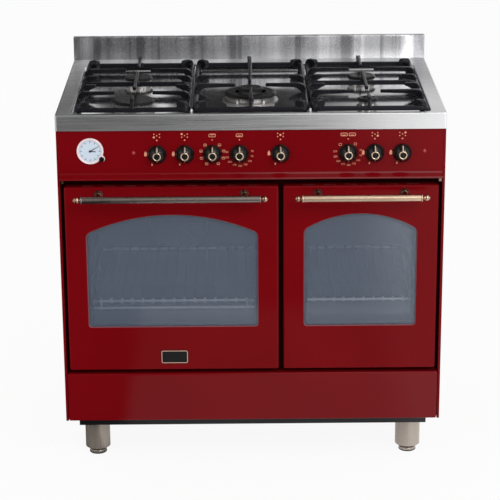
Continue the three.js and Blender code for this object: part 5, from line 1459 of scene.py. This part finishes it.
eased_copy("side_panel_left", RED, BODY, 0.6)
eased_copy("side_panel_right", RED, BODY, 0.6)
eased_copy("rear_panel", GALVANISED, BODY, 0.3)
eased_copy("base_tray", BLACK, BODY, 0.5)
# The frame's red tint is a painted reflection of the doors
eased_copy("front_frame", GAP_DARK_PAINTED_RED_REFLECTION, BODY, 0.3)
finish_node("gas_rail", TAP_METAL)
finish_node("oven_controls", GALVANISED)
for foot_place in ("front", "rear"):
    for foot_side in ("left", "right"):
        foot(foot_place, foot_side)
small_fittings()

# ------------------------------------------------------------------ light, floor and the end

DIFFUSE_LEVEL = 0.72  # of the world on surfaces that scatter light
GLOW_SHARE = 0.92  # of the floor that the camera sees as plain white
LIT_PLACE = (0, 0, 0.5)


def soft_step(tree, source, low, high, dark, bright):
    """A smooth step of a value between two places, from a dark level to a bright one."""
    ends = {"Value": source, "From Min": low, "From Max": high, "To Min": dark, "To Max": bright}
    return shader_node(tree, "MapRange", ends, interpolation_type="SMOOTHSTEP")["Result"]


def band(tree, value, middle, half):
    """A soft-edged stripe of a value: 1 in the middle, nothing past the half width."""
    away = shader_node(
        tree, "Math", {0: arithmetic(tree, "SUBTRACT", value, middle)}, operation="ABSOLUTE")[0]
    return soft_step(tree, away, half, half * 0.6, 0, 1.0)


def shown_light(tree, *levels):
    """White to the camera's own rays, and to mirrored and refracted rays the sum of the levels, at
    most 1; with it, the tests for those two kinds of rays."""
    path = shader_node(tree, "LightPath")
    camera = path["Is Camera Ray"]
    seen = arithmetic(tree, "MAXIMUM", path["Is Glossy Ray"], path["Is Transmission Ray"])
    mirrored = arithmetic(tree, "MINIMUM", arithmetic(tree, "ADD", *levels), 1.0)
    light = arithmetic(tree, "ADD", camera, arithmetic(tree, "MULTIPLY", seen, mirrored))
    return light, camera, seen


def studio_world():
    """White to the eye. Metal and glass see a dim left and a bright right with a steep step
    between them, a lit panel far out on either side, and narrow lit strips high behind."""
    world = bpy.data.worlds.new("studio")
    bpy.context.scene.world = world
    world.use_nodes = True
    tree = world.node_tree
    place = shader_node(tree, "TexCoord")["Generated"]
    across, depth, height = shader_node(tree, "SeparateXYZ", {0: place})
    behind = soft_step(tree, depth, -0.1, 0.1, 0, 1)
    before = arithmetic(tree, "SUBTRACT", 1.0, behind)
    rear_step = arithmetic(
        tree, "MULTIPLY", behind, soft_step(tree, across, 0.02, 0.09, 0.02, 0.66))
    front_step = arithmetic(
        tree, "MULTIPLY", before, soft_step(tree, across, -0.02, 0.045, 0.02, 1.0))
    far_left = soft_step(tree, across, -0.35, -0.75, 0, 0.55)
    far_right = soft_step(tree, across, 0.1, 0.6, 0, 0.15)
    wide, narrow = band(tree, across, -0.078, 0.008), band(tree, across, -0.040, 0.006)
    strips = arithmetic(tree, "MULTIPLY", behind, arithmetic(tree, "ADD", wide, narrow))
    overhead = arithmetic(
        tree, "MULTIPLY", band(tree, height, 0.58, 0.24),
        soft_step(tree, across, -0.06, 0.06, 0.14, 1.0), before)
    light, camera, seen = shown_light(
        tree, rear_step, front_step, far_left, far_right, strips, overhead)
    other = arithmetic(tree, "SUBTRACT", 1.0, arithmetic(tree, "MAXIMUM", camera, seen))
    diffuse = arithmetic(tree, "MULTIPLY", other, DIFFUSE_LEVEL)
    back = tree.nodes["Background"].inputs
    back["Color"].default_value = (1, 1, 1, 1)
    tree.links.new(arithmetic(tree, "ADD", light, diffuse), back["Strength"])


def studio_floor():
    """Plain pale floor that keeps the range's shadow."""
    mesh = bpy.data.meshes.new("floor")
    mesh.from_pydata([(-40, -40, 0), (40, -40, 0), (40, 40, 0), (-40, 40, 0)], [], [(0, 1, 2, 3)])
    floor = linked("floor", mesh)
    made = finish("floor_paper", (0.88, 0.88, 0.88), 0.9, Specular_IOR_Level=0.0)
    tree = made.node_tree
    place = shader_node(tree, "TexCoord")["Object"]
    across, depth, _ = shader_node(tree, "SeparateXYZ", {0: place})
    broad = soft_step(tree, across, -0.5, 1.0, 0.0, 0.20)
    step = soft_step(tree, across, 0.31, 0.57, 0.0, 0.80)
    far_left = soft_step(tree, across, -0.7, -1.3, 0.0, 0.5)
    near = arithmetic(tree, "MULTIPLY", soft_step(tree, depth, -1.45, -1.3, 0, 0.5),
                      soft_step(tree, across, -0.34, -0.30, 0, 1))
    light, camera, seen = shown_light(tree, broad, step, far_left, near)
    glow = shader_node(tree, "Emission", {"Strength": light})
    share = arithmetic(tree, "ADD", arithmetic(tree, "MULTIPLY", camera, GLOW_SHARE), seen)
    paper = tree.nodes["Principled BSDF"].outputs[0]
    blend = shader_node(tree, "MixShader", {0: share, 1: paper, 2: glow[0]})
    tree.links.new(blend[0], tree.nodes["Material Output"].inputs["Surface"])
    mesh.materials.append(made)


def soft_light(name, place, size, watts):
    """A square area lamp aimed at the middle of the range."""
    data = bpy.data.lights.new(name, "AREA")
    data.size = size
    data.energy = watts
    light = bpy.data.objects.new(name, data)
    turn = (Vector(LIT_PLACE) - Vector(place)).to_track_quat("-Z", "Y").to_matrix().to_4x4()
    light.matrix_world = Matrix.Translation(place) @ turn
    bpy.context.scene.collection.objects.link(light)


studio_world()
studio_floor()
soft_light("key", (1.9, -3.2, 3.0), 1.6, 60)
soft_light("fill", (-2.6, -2.8, 2.4), 2.0, 17)
bpy.context.scene.view_settings.view_transform = "Standard"
